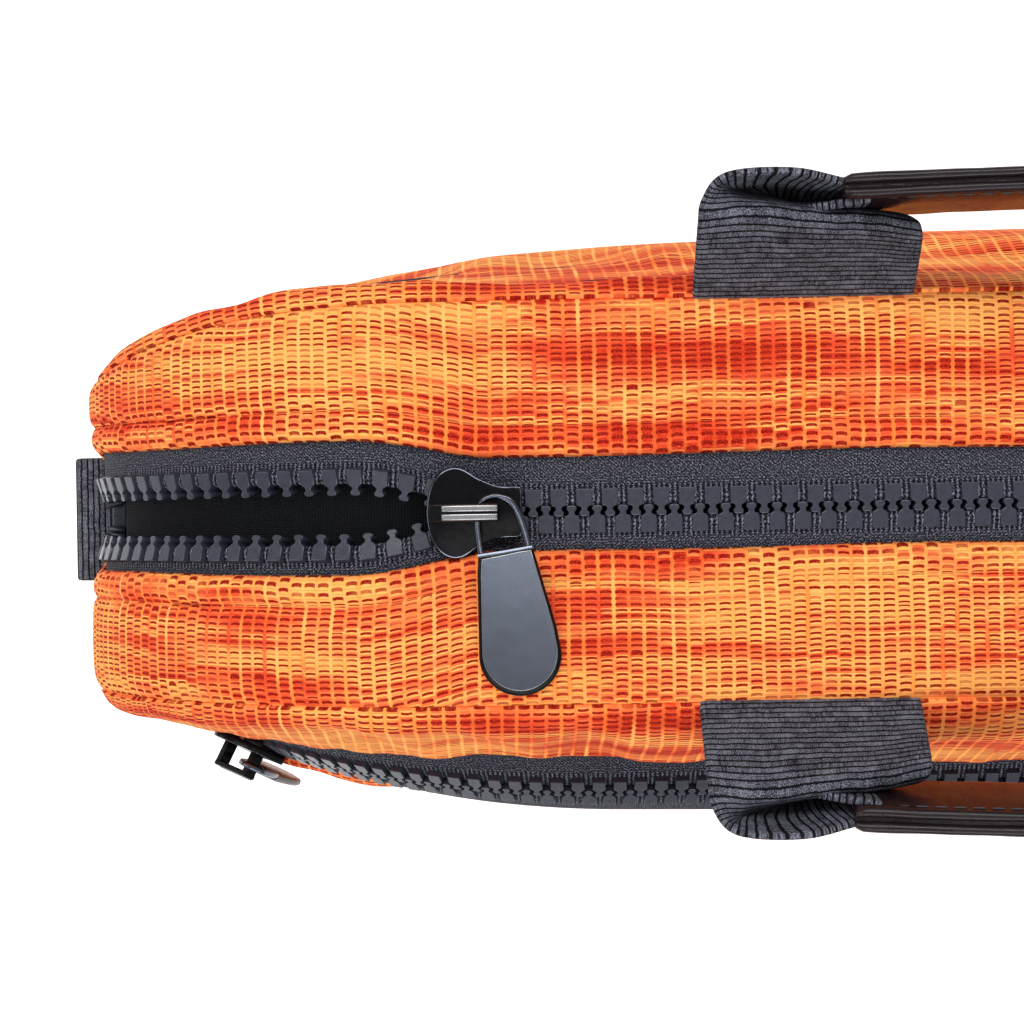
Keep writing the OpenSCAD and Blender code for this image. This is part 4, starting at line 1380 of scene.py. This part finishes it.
def end_tab(end):
    """A folded webbing loop that stands out where the zip ends."""
    low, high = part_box("end_tab_right")
    half = (high.y - low.y) / 2
    reach = high.x - low.x
    radius = (high.z - low.z) / 2 - WEB_THICK / 2
    middle = (high.z + low.z) / 2
    line = [(low.x - 3 * MM, middle + radius * 0.8), (low.x + reach * 0.35, middle + radius)]
    turn = low.x + reach - radius - WEB_THICK / 2
    line += [(x, z) for x, z in arc_points(turn, middle, radius, 90, -90, 14)]
    line += [(low.x + reach * 0.35, middle - radius), (low.x - 3 * MM, middle - radius * 0.8)]
    points, places, run = [], [], 0.0
    for k, (x, z) in enumerate(line):
        if k:
            run += math.dist(line[k - 1], (x, z))
        points.append([Vector((end * x, half * (j / 12 - 1), z)) for j in range(25)])
        places.append([(half * j / 12, run) for j in range(25)])
    piece = webbing_piece("tab_left" if end < 0 else "tab_right", points, places)
    declare(piece, "bag", "end_tab_left" if end < 0 else "end_tab_right", "webbing")


for tab_end in (1, -1):
    end_tab(tab_end)

# ---- Pouch inside ----


def pouch_top():
    """The pouch's narrow wall, seen through the open zip."""
    inset = 11 * MM
    count = 200
    points, places = [], []
    low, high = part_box("pouch_gusset")
    for i in range(count + 1):
        s = (2 * i / count - 1) * (PATH_END - 1 * MM)
        column, place = [], []
        for j in range(25):
            y = low.y + (high.y - low.y) * j / 24
            crown = 5.5 * MM * math.sin(math.pi * j / 24) ** 0.6 if abs(s) < ZIP_END else 0
            ripple = 0.7 * MM * noise.noise(Vector((s * 35, y * 90, 21.0)))
            column.append(on_path(s, y, -inset + crown + ripple))
            place.append((s, y))
        points.append(column)
        places.append(place)
    piece = cloth_piece("pouch_wall", points, places, LINING_LOOK, 0.8 * MM)
    declare(piece, "bag", "pouch_gusset", "black_lining")


pouch_top()
HIDDEN_LOOKS = {
    "rear_lining": LINING_LOOK, "pocket_backing": LINING_LOOK, "seam_binding_rear": LINING_LOOK,
    "seam_binding_front": LINING_LOOK, "pouch_front": LINING_LOOK, "pouch_rear": LINING_LOOK,
    "pouch_closure": LINING_LOOK, "sand_fill": SAND_LOOK,
}
for hidden, look in HIDDEN_LOOKS.items():
    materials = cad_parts[hidden].data.materials
    materials.clear()
    materials.append(look)

# ---- Floor, light and camera ----


def floor():
    mesh = bpy.data.meshes.new("floor")
    size = 4.0
    corners = [(-size, -size, 0), (size, -size, 0), (size, size, 0), (-size, size, 0)]
    mesh.from_pydata(corners, [], [(0, 1, 2, 3)])
    shader = Shader("pale_floor")
    grain = shader.noise(shader.object_place(), 14, 2.0)
    colour = shader.mix(grain, (0.93, 0.93, 0.93), (0.96, 0.96, 0.96))
    look = shader.finish(colour, 0.9, Emission_Color=(1, 1, 1, 1), Emission_Strength=0.45)
    piece = add_object("floor", mesh, look)


def softbox(name, place, target, size, power):
    light = bpy.data.lights.new(name, "AREA")
    light.shape = "RECTANGLE"
    light.size, light.size_y = size
    light.energy = power
    lamp = bpy.data.objects.new(name, light)
    scene.collection.objects.link(lamp)
    lamp.location = place
    lamp.rotation_euler = (Vector(target) - Vector(place)).to_track_quat("-Z", "Y").to_euler()


floor()
middle_top = (-0.05, 0, TOP)
softbox("rear", (-0.1, 0.85, 1.45), middle_top, (1.6, 0.5), 17)
softbox("front", (-0.1, -0.95, 1.35), middle_top, (1.6, 0.45), 13)
softbox("left", (-1.3, 0.1, 1.0), middle_top, (0.6, 0.9), 5)
softbox("strip", (-0.13, -0.25, 1.6), middle_top, (0.5, 0.13), 0.9)
world = bpy.data.worlds.new("studio")
world.use_nodes = True
world.node_tree.nodes["Background"].inputs["Color"].default_value = (1, 1, 1, 1)
world.node_tree.nodes["Background"].inputs["Strength"].default_value = 0.45
scene.world = world
scene.view_settings.view_transform = "Standard"

CAMERA_HEIGHT = 320 * MM  # above the bag's top
camera_data = bpy.data.cameras.new("camera")
camera_data.sensor_width = 36
camera_data.lens = 65.8
camera_data.clip_start = 0.01
camera = bpy.data.objects.new("camera", camera_data)
scene.collection.objects.link(camera)
camera.location = (-129 * MM, 0, TOP + CAMERA_HEIGHT)
camera.rotation_euler = (0, 0, math.radians(-1.0))
scene.camera = camera
